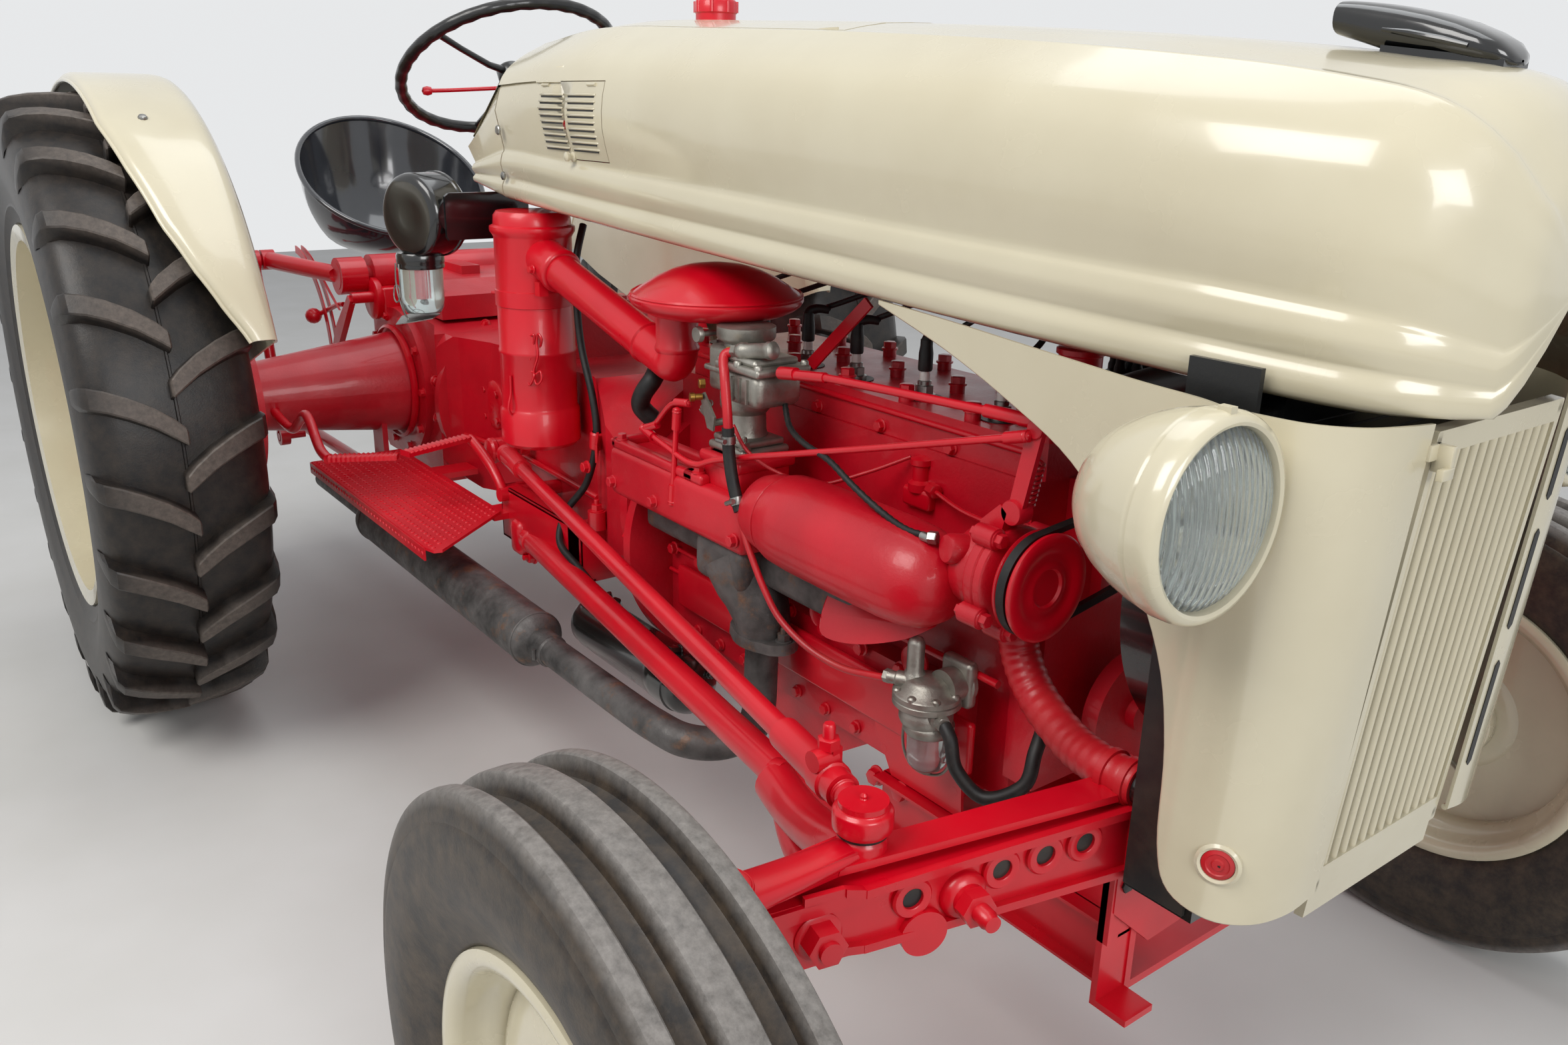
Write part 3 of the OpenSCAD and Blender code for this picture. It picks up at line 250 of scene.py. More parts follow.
def glass_material(name="clear_glass", flutes=0):
    m = Maker(name, spec=0.5)
    m.b.inputs["Transmission Weight"].default_value = 0.92
    m.b.inputs["IOR"].default_value = 1.45
    m.bump(m.noise(35, 2), 0.05, 0.001)
    if flutes:
        w = m.t.nodes.new("ShaderNodeTexWave")
        w.bands_direction = "Y"
        w.inputs["Scale"].default_value = flutes
        m.link(m.co, w.inputs["Vector"])
        m.bump(w.outputs["Fac"], 0.7, 0.002)
    return m.done(rgb("e8efee"), m.ramp(m.noise(12, 3), [(0.3, 0.03), (0.7, 0.08)]))


glass = glass_material()
fluted = glass_material("fluted_lens", 38)

# Finishes of each material slot; the first one also dresses the CAD's own nodes
FINISHES = {"cream_paint": (cream,), "red_paint": (red, hose_red), "engine_red": (red_cast,),
            "black_paint": (black_gloss, black_satin, seat_black_painted_sky_reflection), "exhaust_iron": (iron,),
            "grey_casting": (grey_cast, carb_grey, brass, porcelain, steel), "rubber_hose": (hose_black,),
            "tyre_rubber": (tyre_black, tread_worn), "clear_glass": (glass, fluted, mirror),
            "black_plastic": (plastic,)}
SLOT_FOR = {finish.name: slot for slot, group in FINISHES.items() for finish in group}
SLOT_OF = {entry["node"]: entry["material_slot"] for entry in frame["record"]["subparts"]}


def dress(obj, material):
    if not obj.data.materials:
        obj.data.materials.append(material)
    for i in range(len(obj.data.materials)):
        obj.data.materials[i] = material


for name, node in NODES.items():
    dress(node, FINISHES.get(SLOT_OF.get(name, "red_paint"), (red,))[0])

# Mesh building. Each piece becomes one mesh, with one finish on one body.
FORE, AFT, LEFT, RIGHT, UP = (1, 0, 0), (-1, 0, 0), (0, 1, 0), (0, -1, 0), (0, 0, 1)
SIDES = ((-1, "right"), (1, "left"))


def around(n, start=0.0):
    """Angles of n even steps of a full turn, in radians."""
    return [start + 2 * math.pi * k / n for k in range(n)]


def polar(degrees, r=1.0):
    """Cosine and sine of an angle in degrees, times a radius."""
    a = math.radians(degrees)
    return r * math.cos(a), r * math.sin(a)


def frame_of(direction):
    """Two directions across a given one."""
    d = Vector(direction).normalized()
    ref = Vector(UP if abs(d.z) < 0.9 else FORE)
    u = d.cross(ref).normalized()
    return u, d.cross(u)


class Piece:
    """Vertices and faces in the source's millimetres, made into one object at the end."""
    made = []

    def __init__(self, name, material, *replaces, body="chassis", slot=None, angle=40, bevel=0.0):
        self.name, self.body, self.material, self.replaces = name, body, material, replaces
        self.slot, self.angle, self.bevel = slot or SLOT_FOR[material.name], angle, bevel
        self.v, self.f = [], []
        Piece.made.append(self)

    def add(self, points):
        """Takes points in and gives their numbers back."""
        i = len(self.v)
        self.v += [Vector(q) for q in points]
        return list(range(i, len(self.v)))

    def ring(self, centre, u, v, r, n):
        return self.add([Vector(centre) + r * (math.cos(a) * u + math.sin(a) * v) for a in around(n)])

    def skin(self, a, b):
        n = len(a)
        self.f += [(a[k], a[(k + 1) % n], b[(k + 1) % n], b[k]) for k in range(n)]

    def caps(self, rings):
        """Closes both ends of a run of rings; an end that is one point needs nothing."""
        self.f += [tuple(r) for r in (rings[0][::-1], rings[-1]) if len(r) > 1]

    def turned(self, base, direction, profile, n=24, closed=False):
        """A profile of (radius, distance along direction) turned about a line from base."""
        d = Vector(direction).normalized()
        u, v = frame_of(d)
        rings = []
        for r, h in profile:
            c = Vector(base) + d * h
            rings.append(self.add([c]) if r < 1e-6 else self.ring(c, u, v, r, n))
        for a, b in zip(rings, rings[1:] + rings[:1] * closed):
            if len(a) == 1 and len(b) == 1:
                continue
            if len(a) == 1:
                self.f += [(a[0], b[(k + 1) % n], b[k]) for k in range(n)]
            elif len(b) == 1:
                self.f += [(a[k], a[(k + 1) % n], b[0]) for k in range(n)]
            else:
                self.skin(a, b)
        if not closed:
            self.caps(rings)

    def rod(self, a, b, r, n=14):
        d = Vector(b) - Vector(a)
        self.turned(a, d, [(r, 0), (r, d.length)], n)

    def tube(self, points, r, n=10, closed=False):
        """A round tube along points, with a carried frame; r may be a list."""
        p = [Vector(q) for q in points]
        m = len(p)
        rs = r if hasattr(r, "__len__") else [r] * m
        rings, u = [], None
        for i in range(m):
            a = p[(i - 1) % m] if closed or i else p[0]
            b = p[(i + 1) % m] if closed or i < m - 1 else p[-1]
            t = (b - a).normalized()
            if u is None:
                u = frame_of(t)[0]
            u = (u - u.dot(t) * t).normalized()
            rings.append(self.ring(p[i], u, t.cross(u), rs[i], n))
        for a, b in zip(rings, rings[1:]):
            self.skin(a, b)
        if closed:
            self.skin(rings[-1], rings[0])
        else:
            self.caps(rings)

    def hexagon(self, base, direction, across, h):
        """A hexagon head or nut with chamfered corners."""
        r, chamfer = across / math.sqrt(3), 0.8
        self.turned(base, direction, [(r, 0), (r, h - chamfer), (r * 0.88, h)], 6)

    def bolt(self, base, direction, across=17, h=10, stud=0):
        """A hexagon head on a washer, with the end of its stud if it has one."""
        d = Vector(direction).normalized()
        p = Vector(base)
        self.turned(p - d * 0.5, d, [(across * 0.72, 0), (across * 0.72, 2.2), (across * 0.66, 2.8)], 18)
        p = p + d * 2.2
        self.hexagon(p, d, across, h)
        if stud:
            self.turned(p + d * h * 0.9, d, [(across * 0.27, 0), (across * 0.27, stud), (across * 0.2, stud + 1)], 10)

    def bolts(self, places, direction, across=17, h=10, stud=0):
        for place in places:
            self.bolt(place, direction, across, h, stud)

    def box(self, lo, hi):
        (x0, y0, z0), (x1, y1, z1) = lo, hi
        v = self.add([(x, y, z) for z in (z0, z1) for x, y in ((x0, y0), (x1, y0), (x1, y1), (x0, y1))])
        self.f += [tuple(v[k] for k in q) for q in ((0, 3, 2, 1), (4, 5, 6, 7), (0, 1, 5, 4), (1, 2, 6, 5),
                                                    (2, 3, 7, 6), (3, 0, 4, 7))]

    def slab(self, outline, direction, depth, inset=0.0):
        """A flat outline of points pushed along a direction, with an optional inset at the far end."""
        d = Vector(direction).normalized()
        near = [Vector(p) for p in outline]
        c = sum(near, Vector()) / len(near)
        a = self.add(near)
        b = self.add([p + d * depth - (p - c).normalized() * inset for p in near])
        self.f += [tuple(a[::-1]), tuple(b)]
        self.skin(a, b)

    def sheet(self, near, far):
        """A plate between two equal outlines."""
        a, b = self.add(near), self.add(far)
        self.f += [tuple(a), tuple(b[::-1])]
        self.skin(a, b)

    def mirrored(self):
        """The same again on the other side of the tractor."""
        i = len(self.v)
        self.v += [Vector((p.x, -p.y, p.z)) for p in list(self.v)]
        self.f += [tuple(i + k for k in reversed(q)) for q in list(self.f)]

    def build(self):
        mesh = bpy.data.meshes.new(self.name)
        mesh.from_pydata([L(*p) for p in self.v], [], self.f)
        obj = bpy.data.objects.new(self.name, mesh)
        bpy.context.scene.collection.objects.link(obj)
        b = bmesh.new()
        b.from_mesh(mesh)
        bmesh.ops.recalc_face_normals(b, faces=b.faces)
        b.to_mesh(mesh)
        b.free()
        if self.bevel:
            mod = obj.modifiers.new("edge", "BEVEL")
            mod.width = self.bevel / 1000
            mod.segments = 2
            mod.limit_method = "ANGLE"
            mod.angle_limit = math.radians(35)
            deps = bpy.context.evaluated_depsgraph_get()
            mesh = bpy.data.meshes.new_from_object(obj.evaluated_get(deps))
            obj.modifiers.clear()
            obj.data = mesh
        mesh.polygons.foreach_set("use_smooth", [True] * len(mesh.polygons))
        mesh.set_sharp_from_angle(angle=math.radians(self.angle))
        mesh.update()
        mesh.materials.append(self.material)
        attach(obj, self.body)
        if self.replaces:
            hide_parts(*self.replaces)


def arc(centre, u, v, r, a0, a1, n):
    """Points of an arc about a centre, from angle a0 to a1 in degrees."""
    c, u, v = Vector(centre), Vector(u), Vector(v)
    turns = [polar(a0 + (a1 - a0) * k / n) for k in range(n + 1)]
    return [c + r * (x * u + y * v) for x, y in turns]


def both(half, shared=0):
    """A half profile and its mirror image, which leaves out the last points that they share."""
    return half + [(r, -y) for r, y in reversed(half[:len(half) - shared])]


def spline(points, steps):
    """A smooth route through a few points."""
    p = [Vector(q) for q in points]
    out = []
    for i in range(len(p) - 1):
        a, b, c, d = p[max(i - 1, 0)], p[i], p[i + 1], p[min(i + 2, len(p) - 1)]
        for k in range(steps):
            t = k / steps
            out.append(0.5 * (2 * b + (c - a) * t + (2 * a - 5 * b + 4 * c - d) * t * t
                              + (3 * b - a - 3 * c + d) * t ** 3))
    return out + [p[-1]]


# Sizes that the source also uses, in its millimetres
REAR_R, REAR_Y, AXLE_Z = 620, 745, 620
FRONT_R, FRONT_Y, FRONT_X = 362, 753, 2030
KINGPIN_Y, BALL_Y = 636, 477


# Rear tyres: a carcass with its sidewall beads, and a chevron of lugs
def rear_tyre(side, name):
    p = Piece("rear_tyre_" + name, tyre_black, "rear_tyre_" + name, body="rear_wheel_" + name, angle=32)
    cy = side * REAR_Y
    half = [(357, 112), (362, 118), (378, 116.5), (382, 122), (400, 125), (412, 131), (418, 130), (450, 140),
        (485, 145), (520, 143.5), (548, 137), (566, 128), (577, 112), (583, 90), (587, 55), (588, 20), (588, 3),
        (590, 1.6), (590, -1.6), (588, -3)]
    full = both(half, 2)
    p.turned((0, cy, AXLE_Z), LEFT, full[::-1], 144, closed=True)
    # One lug is a run of sections from past the centre to low on the shoulder: y, turn along the tread in mm,
    # half width on top, top radius, foot radius
    sections = [(-7, 0, 11, 616, 584), (-4, 2, 15, 619.5, 584), (10, 15, 17, 620, 584), (40, 38, 17.5, 619, 584),
        (75, 58, 18, 616, 581), (105, 72, 18.5, 610, 574), (128, 80, 19, 601, 562), (137, 84, 18, 588, 548),
        (142, 88, 14, 562, 536), (144, 91, 9, 538, 522)]
    count = 24
    for hand in (1, -1):
        for i in range(count):
            a0 = 2 * math.pi * (i + (0.5 if hand < 0 else 0)) / count
            rows = []
            for y, s, w, top, foot in sections:
                row = []
                spread = w + 4
                for off, r in ((-spread, foot), (-w, top - 2), (-w + 3, top), (w - 3, top), (w, top - 2),
                        (spread, foot)):
                    a = a0 + (s + off) / REAR_R
                    row.append((r * math.cos(a), cy + hand * y, AXLE_Z + r * math.sin(a)))
                rows.append(p.add(row))
            for a, b in zip(rows, rows[1:]):
                p.f += [(a[j], a[j + 1], b[j + 1], b[j]) for j in range(5)]
            p.f += [tuple(rows[0]), tuple(reversed(rows[-1]))]


# Front tyres: three ribs with stepped grooves
def front_tyre(side, name):
    p = Piece("front_tyre_" + name, tread_worn, "front_tyre_" + name, body="front_wheel_" + name, angle=28)
    half = [(203.5, 46), (208, 46.5), (219, 48), (220.5, 52), (224, 55), (240, 61), (242, 61.6), (262, 70.5),
        (280, 74.3), (291, 75), (308, 74.4), (325, 72.6), (332, 71.6), (334, 70.2), (337, 70.4), (346, 67.8),
        (355, 64.6), (358.6, 62.4), (360, 59.5), (360.7, 53), (360.2, 47.8), (358.6, 46), (346, 43), (341.4, 41),
        (340, 38), (339.4, 30), (340, 22), (341.6, 19), (348, 16.8), (359, 14.6), (361, 13), (362, 9), (362, 0)]
    full = both(half, 1)
    p.turned((FRONT_X, side * FRONT_Y, FRONT_R), LEFT, full[::-1], 128, closed=True)


for tyre in (rear_tyre, front_tyre):
    for side, name in SIDES:
        tyre(side, name)

# Body sheets
def grid(p, rows):
    """Quads between closed rows of points of equal length; gives the first point's number back."""
    n = len(rows[0])
    base = p.add([q for row in rows for q in row])[0]
    for i in range(len(rows) - 1):
        for j in range(n):
            k = (j + 1) % n
            p.f.append((base + i * n + j, base + i * n + k, base + (i + 1) * n + k, base + (i + 1) * n + j))
    return base


def shell(p, outer, inner, skip=None):
    """A sheet with thickness between two equal grids; skip(i, j) leaves a quad open, with its edges closed."""
    m, n = len(outer), len(outer[0])
    base = p.add([q for g in (outer, inner) for row in g for q in row])[0]
    half = m * n
    present = {(i, j) for i in range(m - 1) for j in range(n - 1) if not (skip and skip(i, j))}
    edges = {}
    for i, j in present:
        a, b, c, d = i * n + j, i * n + j + 1, (i + 1) * n + j + 1, (i + 1) * n + j
        p.f.append((base + a, base + b, base + c, base + d))
        p.f.append((base + half + d, base + half + c, base + half + b, base + half + a))
        for e in ((a, b), (b, c), (c, d), (d, a)):
            edges[e] = True
    for a, b in edges:
        if (b, a) not in edges:
            p.f.append((base + b, base + a, base + half + a, base + half + b))


def lerp(a, b, k):
    return a + (b - a) * k


def pick(table, x):
    """A row of a table at x, on a smooth curve through its rows."""
    x = min(max(x, table[0][0]), table[-1][0])
    i = max(k for k in range(len(table) - 1) if table[k][0] <= x)
    a, b, c, d = table[max(i - 1, 0)], table[i], table[i + 1], table[min(i + 2, len(table) - 1)]
    t = (x - b[0]) / (c[0] - b[0])
    out = [x]
    for k in range(1, len(b)):
        m0 = (c[k] - a[k]) / (c[0] - a[0]) * (c[0] - b[0])
        m1 = (d[k] - b[k]) / (d[0] - b[0]) * (c[0] - b[0])
        out.append((2 * t ** 3 - 3 * t * t + 1) * b[k] + (t ** 3 - 2 * t * t + t) * m0
                   + (-2 * t ** 3 + 3 * t * t) * c[k] + (t ** 3 - t * t) * m1)
    return out


HOOD = [(741, 214, 226, 1079, 128, 1330, 1346), (986, 224, 238, 1068, 150, 1345, 1363), (1270, 230, 240, 1056, 150,
    1335, 1353), (1555, 231, 240, 1044, 150, 1322, 1340), (1850, 228, 237, 1031, 150, 1304, 1322), (2080, 214, 224,
    1020, 148, 1284, 1303), (2200, 198, 207, 1014, 142, 1268, 1289), (2275, 174, 182, 1010, 130, 1250, 1277),
    (2315, 134, 142, 1008, 104, 1218, 1250), (2335, 88, 94, 1006, 72, 1180, 1212)]
HATCH = (990, 1552)                    # x from and to
DOOR = (903, 1135, 1155, 1266)         # x from and to, z from and to
RIBS_END, SHOULDER = 56, 96            # places along a dense half section


def cowl(x):
    back = HOOD[0][0] - x
    h = HOOD[0]
    return [x, h[1] - 0.02 * back, h[2] - 0.03 * back, h[3] + 0.15 * back, h[4] - 0.3 * back,
            h[5] - 0.95 * back, h[6] - 0.95 * back]


def half_section(s, t):
    """Half a hood section from sill to crown, as (y, z), on fixed numbers of points between its lines."""
    sill, waist, z0, cy, cz, top = s[1] - t, s[2] - t, s[3], s[4], s[5] - t, s[6] - t
    h = cz - z0
    k = min(1, h / 260)
    pts = [(sill - 8, z0), (sill + 2, z0 + 6 * k), (sill + 5, z0 + 22 * k), (sill, z0 + 36 * k),
           (sill + 2, z0 + 44 * k), (sill + 6, z0 + 60 * k), (sill + 3, z0 + 76 * k), (sill - 1, z0 + 88 * k),
           (waist - 1, z0 + 0.5 * h), (waist - 4, z0 + 0.68 * h), (lerp(waist, cy, 0.22), z0 + 0.82 * h),
           (lerp(waist, cy, 0.55), z0 + 0.92 * h), (cy + 8, cz - 2), (cy, cz + 2), (cy - 12, cz + 3),
           (cy * 0.5, lerp(cz, top, 0.8)), (0, top)]
    dense = spline([(0, y, z) for y, z in pts], 8)
    x = min(max(s[0], DOOR[0]), DOOR[1])
    ref = pick(HOOD, x)
    rz0, rcz = ref[3], ref[5] - 4
    zb = z0 + 88 * k
    rb = rz0 + 88 * min(1, (rcz - rz0) / 260)

    def index_of(z):
        for i in range(RIBS_END, SHOULDER):
            if dense[i].z <= z <= dense[i + 1].z:
                return i + (z - dense[i].z) / max(dense[i + 1].z - dense[i].z, 1e-6)
        return 90.0
    low, high = (lerp(zb, cz, (z - rb) / (rcz - rb)) for z in DOOR[2:])
    i1, i2 = index_of(low), index_of(high)
    marks = [*range(0, RIBS_END, 2), *steps(RIBS_END, i1, 3), *steps(i1, i2, 5), *steps(i2, SHOULDER, 7),
             *range(SHOULDER, 112, 2), *range(112, 132, 4)]
    out = []
    for m in marks:
        i = min(int(m), len(dense) - 2)
        q = dense[i].lerp(dense[i + 1], m - i)
        out.append((q.y, q.z))
    return out


SIDE_A, SIDE_B = 31, 36          # section points at the louvre door's lower and upper edge
TOP_EDGE = 51                    # section point at the hatch's edge


def section_row(s, t, x=None):
    half = half_section(s, t)
    x = s[0] if x is None else x
    return [(x, -y, z) for y, z in half] + [(x, y, z) for y, z in reversed(half[:-1])]


def steps(a, b, n):
    return [lerp(a, b, i / n) for i in range(n)]


def hood():
    p = Piece("hood_shell", cream, "hood", angle=50)
    xs = (steps(743.5, 903, 6) + steps(903, 990, 3) + steps(990, 1135, 5) + steps(1135, 1552, 12)
          + steps(1552, 2080, 14) + steps(2080, 2335, 16) + [2335])
    outer = [section_row(pick(HOOD, x), 0) for x in xs]
    inner = [section_row(pick(HOOD, x), 4, min(x, 2331)) for x in xs]
    # Rounded nose
    last, lasti = outer[-1], inner[-1]
    for fx, k in ((2340, 0.9), (2343.5, 0.72), (2345.5, 0.45), (2346, 0.02)):
        outer.append([(fx, y * k, 1105 + (z - 1105) * k) for _, y, z in last])
        inner.append([(fx - 4, y * k, 1105 + (z - 1105) * k) for _, y, z in lasti])
        xs.append(fx)
    n = len(outer[0])

    def skip(i, j):
        x = (xs[i] + xs[i + 1]) / 2
        if HATCH[0] < x < HATCH[1] and TOP_EDGE <= j < n - 1 - TOP_EDGE:
            return True
        return DOOR[0] < x < DOOR[1] and SIDE_A <= j < SIDE_B
    shell(p, outer, inner, skip)


def hatch_lid():
    p = Piece("hatch_lid_shell", cream, "hood_hatch", body="hood_hatch", angle=45)
    xs = steps(991.5, 1550.5, 16) + [1550.5]

    def rows(t):
        out = []
        for x in xs:
            r = section_row(pick(HOOD, x), t)[TOP_EDGE:]
            r = r[:len(r) - TOP_EDGE]
            out.append([(x, y * 0.989, z + 0.6) for x, y, z in r])
        return out
    shell(p, rows(0), rows(4))
    # Lips that stiffen the lid's edges
    for y in (-130, 130):
        p.box((1010, y - 1.2, 1322), (1530, y + 1.2, 1330))
    cap = Piece("fuel_cap", red)
    cap.turned((1070, 0, 1345), UP, [(31, 0), (31, 26), (33, 28), (33, 42), (30, 46), (12, 48), (0, 48)], 40)
    for k in range(8):
        a = k * math.pi / 4
        x, y = 1070 + 32 * math.cos(a), 32 * math.sin(a)
        cap.rod((x, y, 1373), (x, y, 1389), 3.2, 8)


def louvre():
    p = Piece("louvre_door_shell", cream, "louvre_door", body="louvre_door")
    xs = steps(905, 1133.5, 10) + [1133.5]

    def rows(t):
        return [[(x, y - 0.5, lerp(1210.5, z, 0.975)) for x, y, z in section_row(pick(HOOD, x), t)[SIDE_A:SIDE_B + 1]]
                for x in xs]
    shell(p, rows(0), rows(2))

    def face(x, z):
        half = half_section(pick(HOOD, x), 0)
        for (ya, za), (yb, zb) in zip(half, half[1:]):
            if za <= z <= zb:
                return -lerp(ya, yb, (z - za) / (zb - za))
        return -238
    # Two columns of pressed slits, each a lip over a thin black slab that is painted shade in the slot's opening
    opening_shade = Piece("louvre_slot_shade", black_satin, body="louvre_door")
    for c0, c1 in ((925, 1012), (1026, 1113)):
        for k in range(9):
            z = 1170 + k * 9.6
            y0, y1 = face(c0, z), face(c1, z)
            p.tube([(c0, y0 + 0.5, z + 2), (c0 + 4, y0 - 2.2, z + 2.2), (c1 - 4, y1 - 2.2, z + 2.2),
                (c1, y1 + 0.5, z + 2)], 1.7, 8)
            opening_shade.slab([(c0 + 3, y0 - 0.3, z - 1.9), (c1 - 3, y1 - 0.3, z - 1.9), (c1 - 3, y1 - 0.3, z + 1.4),
                       (c0 + 3, y0 - 0.3, z + 1.4)], RIGHT, 0.7)
    # Catch
    y = face(1019, 1160)
    p.turned((1019, y + 1, 1160), RIGHT, [(8, 0), (8, 3), (5, 5), (5, 9), (7, 10), (7, 14), (3, 16)], 20)
    for hx in (940, 1098):
        y = face(hx, 1262) - 0.5
        p.rod((hx - 12, y, 1263), (hx + 12, y, 1263), 2.6, 10)


def hood_trim():
    knobs = Piece("hood_bolts", steel)
    for s in (-1, 1):
        for y, z, r, top in ((227, 1192, 8, 6.5), (222, 1118, 7, 5)):
            knobs.turned((757, s * y, z), (0, s, 0), [(r, 0), (r, 3), (top, 4.5), (0, 5)], 18)
    lip = Piece("cowl_shell", cream, "dash", angle=50)
    xs = steps(612, 739.5, 9) + [739.5]
    shell(lip, *([section_row(cowl(x), t) for x in xs] for t in (0, 4)))
    # Instrument face
    face = section_row(cowl(616), 3)
    lip.sheet(face, [(620, y, z) for x, y, z in face])
    # Gauges on the rear face
    dials = Piece("gauges", black_gloss)
    for y, z, r in ((-70, 1150, 26), (0, 1165, 34), (70, 1150, 26)):
        dials.turned((616, y, z), AFT, [(r, 0), (r, 4), (r - 3, 6), (r - 4, 3), (0, 3)], 32)


def side_panel():
    cols = [(1737, -228, 1032, 1036), (1850, -232, 1000, 1030), (1950, -238, 965, 1024), (2040, -244, 925, 1019),
        (2110, -248, 862, 1015), (2160, -250, 775, 1013), (2182, -252, 690, 1011), (2191, -252, 590, 1011),
        (2208, -250, 548, 1010), (2245, -240, 535, 1009), (2272, -210, 532, 1008), (2284, -170, 534, 1007),
        (2285, -129, 540, 1004)]
    pts = [Vector((c[0], c[1], 0)) for c in cols]
    ends = [Vector((0, c[2], c[3])) for c in cols]
    plan, edge = spline(pts, 5), spline(ends, 5)
    for s in (1, -1):
        # The columns above are the right side's, and s = -1 mirrors them
        p = Piece("side_panel_" + ("right" if s > 0 else "left"), cream, *["side_panels"] * (s > 0), angle=50)
        rows = []
        for t in (0.0, 3.5):
            g = []
            for i, (q, e) in enumerate(zip(plan, edge)):
                a = plan[max(i - 1, 0)]
                b = plan[min(i + 1, len(plan) - 1)]
                d = (b - a).normalized()
                normal = Vector((d.y, -d.x, 0))
                row = []
                for k in range(15):
                    z = lerp(e.y, e.z, k / 14)
                    lean = (z - 530) * 0.06 * max(0.0, (q.x - 2100) / 190)
                    c = Vector((q.x + lean, q.y, z)) - normal * t
                    row.append((c.x, c.y * s, c.z))
                g.append(row)
            rows.append(g)
        shell(p, rows[0], rows[1])
        # Rolled edge along the foot and the back
        p.tube([(r[0][0], r[0][1], r[0][2] + 1) for r in rows[1]], 3.4, 10)
    marks = Piece("reflectors", hose_red)
    rings = Piece("reflector_rings", cream)
    # A small black box in each reflector's screw slot: painted shade in the recess.
    screw_slot_shade = Piece("reflector_slot_shade", black_satin)
    for s in (-1, 1):
        d = Vector((0.42, s * 0.9, 0.02)).normalized()
        c = Vector((2247, s * 237.5, 595))
        rings.turned(c, d, [(21, -2), (21, 3.5), (18, 5.5), (15.5, 4), (15.5, 0)], 32)
        marks.turned(c, d, [(15, -1), (15, 3.2), (11, 4.6), (10, 3.6), (6, 3.6), (5, 5.2), (0, 5.4)], 32)
        screw_slot_shade.box((c.x + d.x * 4 - 3, c.y + d.y * 4 - 1.2, c.z - 0.8), (c.x + d.x * 4 + 3, c.y + d.y * 4 + 1.2,
            c.z + 0.8))
    # Slots in the flange beside the grille, drawn as thin black slabs: painted shade in the openings
    flange_slot_shade = Piece("flange_slots_painted_shade", black_satin)

    def lean(y, z):
        return (2285.4 + (z - 530) * 0.0585, y, z)
    for z0, z1 in ((590, 715), (750, 860), (890, 965)):
        flange_slot_shade.slab([lean(140, z0 + 5), lean(145, z0), lean(150, z0 + 5), lean(150, z1 - 5), lean(145, z1),
                    lean(140, z1 - 5)], FORE, 0.8)


def grille():
    p = Piece("grille_frame", cream, "grille", body="grille")
    foot, head, half = Vector((2272, 0, 500)), Vector((2308, 0, 1000)), 119
    up = (head - foot).normalized()
    out = Vector((up.z, 0, -up.x))
    tall = (head - foot).length

    def at(y, h, d=0.0):
        return foot + Vector((0, y, 0)) + up * h + out * d

    def strip(y0, y1, h0, h1, d0, d1):
        p.slab([at(y0, h0, d0), at(y1, h0, d0), at(y1, h1, d0), at(y0, h1, d0)], out, d1 - d0, 1.2)
    strip(-half + 1, half - 1, 30, 60, -8, 4)
    strip(-half + 1, half - 1, tall - 26, tall - 4, -8, 4)
    for s in (-1, 1):
        strip(s * (half - 5) - 4, s * (half - 5) + 4, 30, tall - 4, -8, 4)
    n = 13
    for i in range(n):
        y = -half + 16 + (2 * half - 32) * i / (n - 1)
        ring = []
        for h in (54, tall - 20):
            ring.append([at(y + 4.4 * math.cos(a), h, -3 + 6.2 * math.sin(a)) for a in around(14)])
        grid(p, ring)
    # Foot rail that tucks behind the bottom strip
    strip(-half + 1, half - 1, 0, 30, -8, 1)
    hook = Piece("grille_latch", cream, bevel=0.8)
    x0 = 2306
    hook.box((x0, -131, 972), (x0 + 8, -112, 986))
    hook.box((x0 + 4, -119, 962), (x0 + 20, -112, 986))
    hook.box((x0 + 15, -131, 958), (x0 + 21, -112, 968))
    # Black sheet behind the bars: painted shade inside the nose, seen in the gaps
    back = Piece("grille_shade_sheet", black_satin, body="grille")
    back.slab([at(-half + 4, 6, -10), at(half - 4, 6, -10), at(half - 4, tall - 8, -10),
        at(-half + 4, tall - 8, -10)], -out, 1)


def headlights():
    shells = Piece("headlight_shells", cream, "lamps")
    lenses = Piece("headlight_lenses", fluted, angle=60)
    bowls = Piece("headlight_bowls", mirror, angle=60)
    for s in (-1, 1):
        c = Vector((2264, s * 337, 945))
        body = [(0, -121), (10, -120.5), (22, -118.5), (34, -114), (46, -106), (58, -94), (68, -78), (76, -60),
            (81, -44), (84, -30), (84.6, -26), (84, -25), (84, -23.5), (85.8, -22.5), (86, -14), (86, -8), (84.5, -3),
            (82, 1), (78, 2.5), (75, 1), (73.5, -3), (73.5, -8), (64, -34), (48, -56), (28, -71), (0, -78)]
        shells.turned(c, FORE, body, 64)
        dome = [(73.4, -5), (70, -1.5), (60, 4), (45, 9), (28, 12.3), (12, 13.8), (0, 14)]
        lenses.turned(c, FORE, dome, 64)
        bowls.turned(c, FORE, [(73.2, -7), (63, -32), (47, -53.5), (27, -68), (9, -74), (9, -60), (0, -58)], 64)
        shells.turned((2205, s * 300, 945), (0, -s, 0), [(20, -50), (20, -45), (17, -40), (17, 14)], 24)
        shells.tube([(2205, s * 286, 945), (2205, s * 306, 945), (2209, s * 322, 945), (2222, s * 332, 945)],
            [17, 17, 19, 22], 20)
        # Clamp of the rim
        shells.box((2250, c.y - 4, 1027), (2262, c.y + 4, 1034))
    # Rear lamp on its stalk
    shells.turned((60, 452, 1200), AFT, [(0, -2), (50, -2), (55, 0), (58, 6), (58, 12), (54, 30), (44, 54), (26, 74),
        (0, 80)], 44)
    shells.rod((48, 495, 1200), (48, 575, 1200), 8, 16)


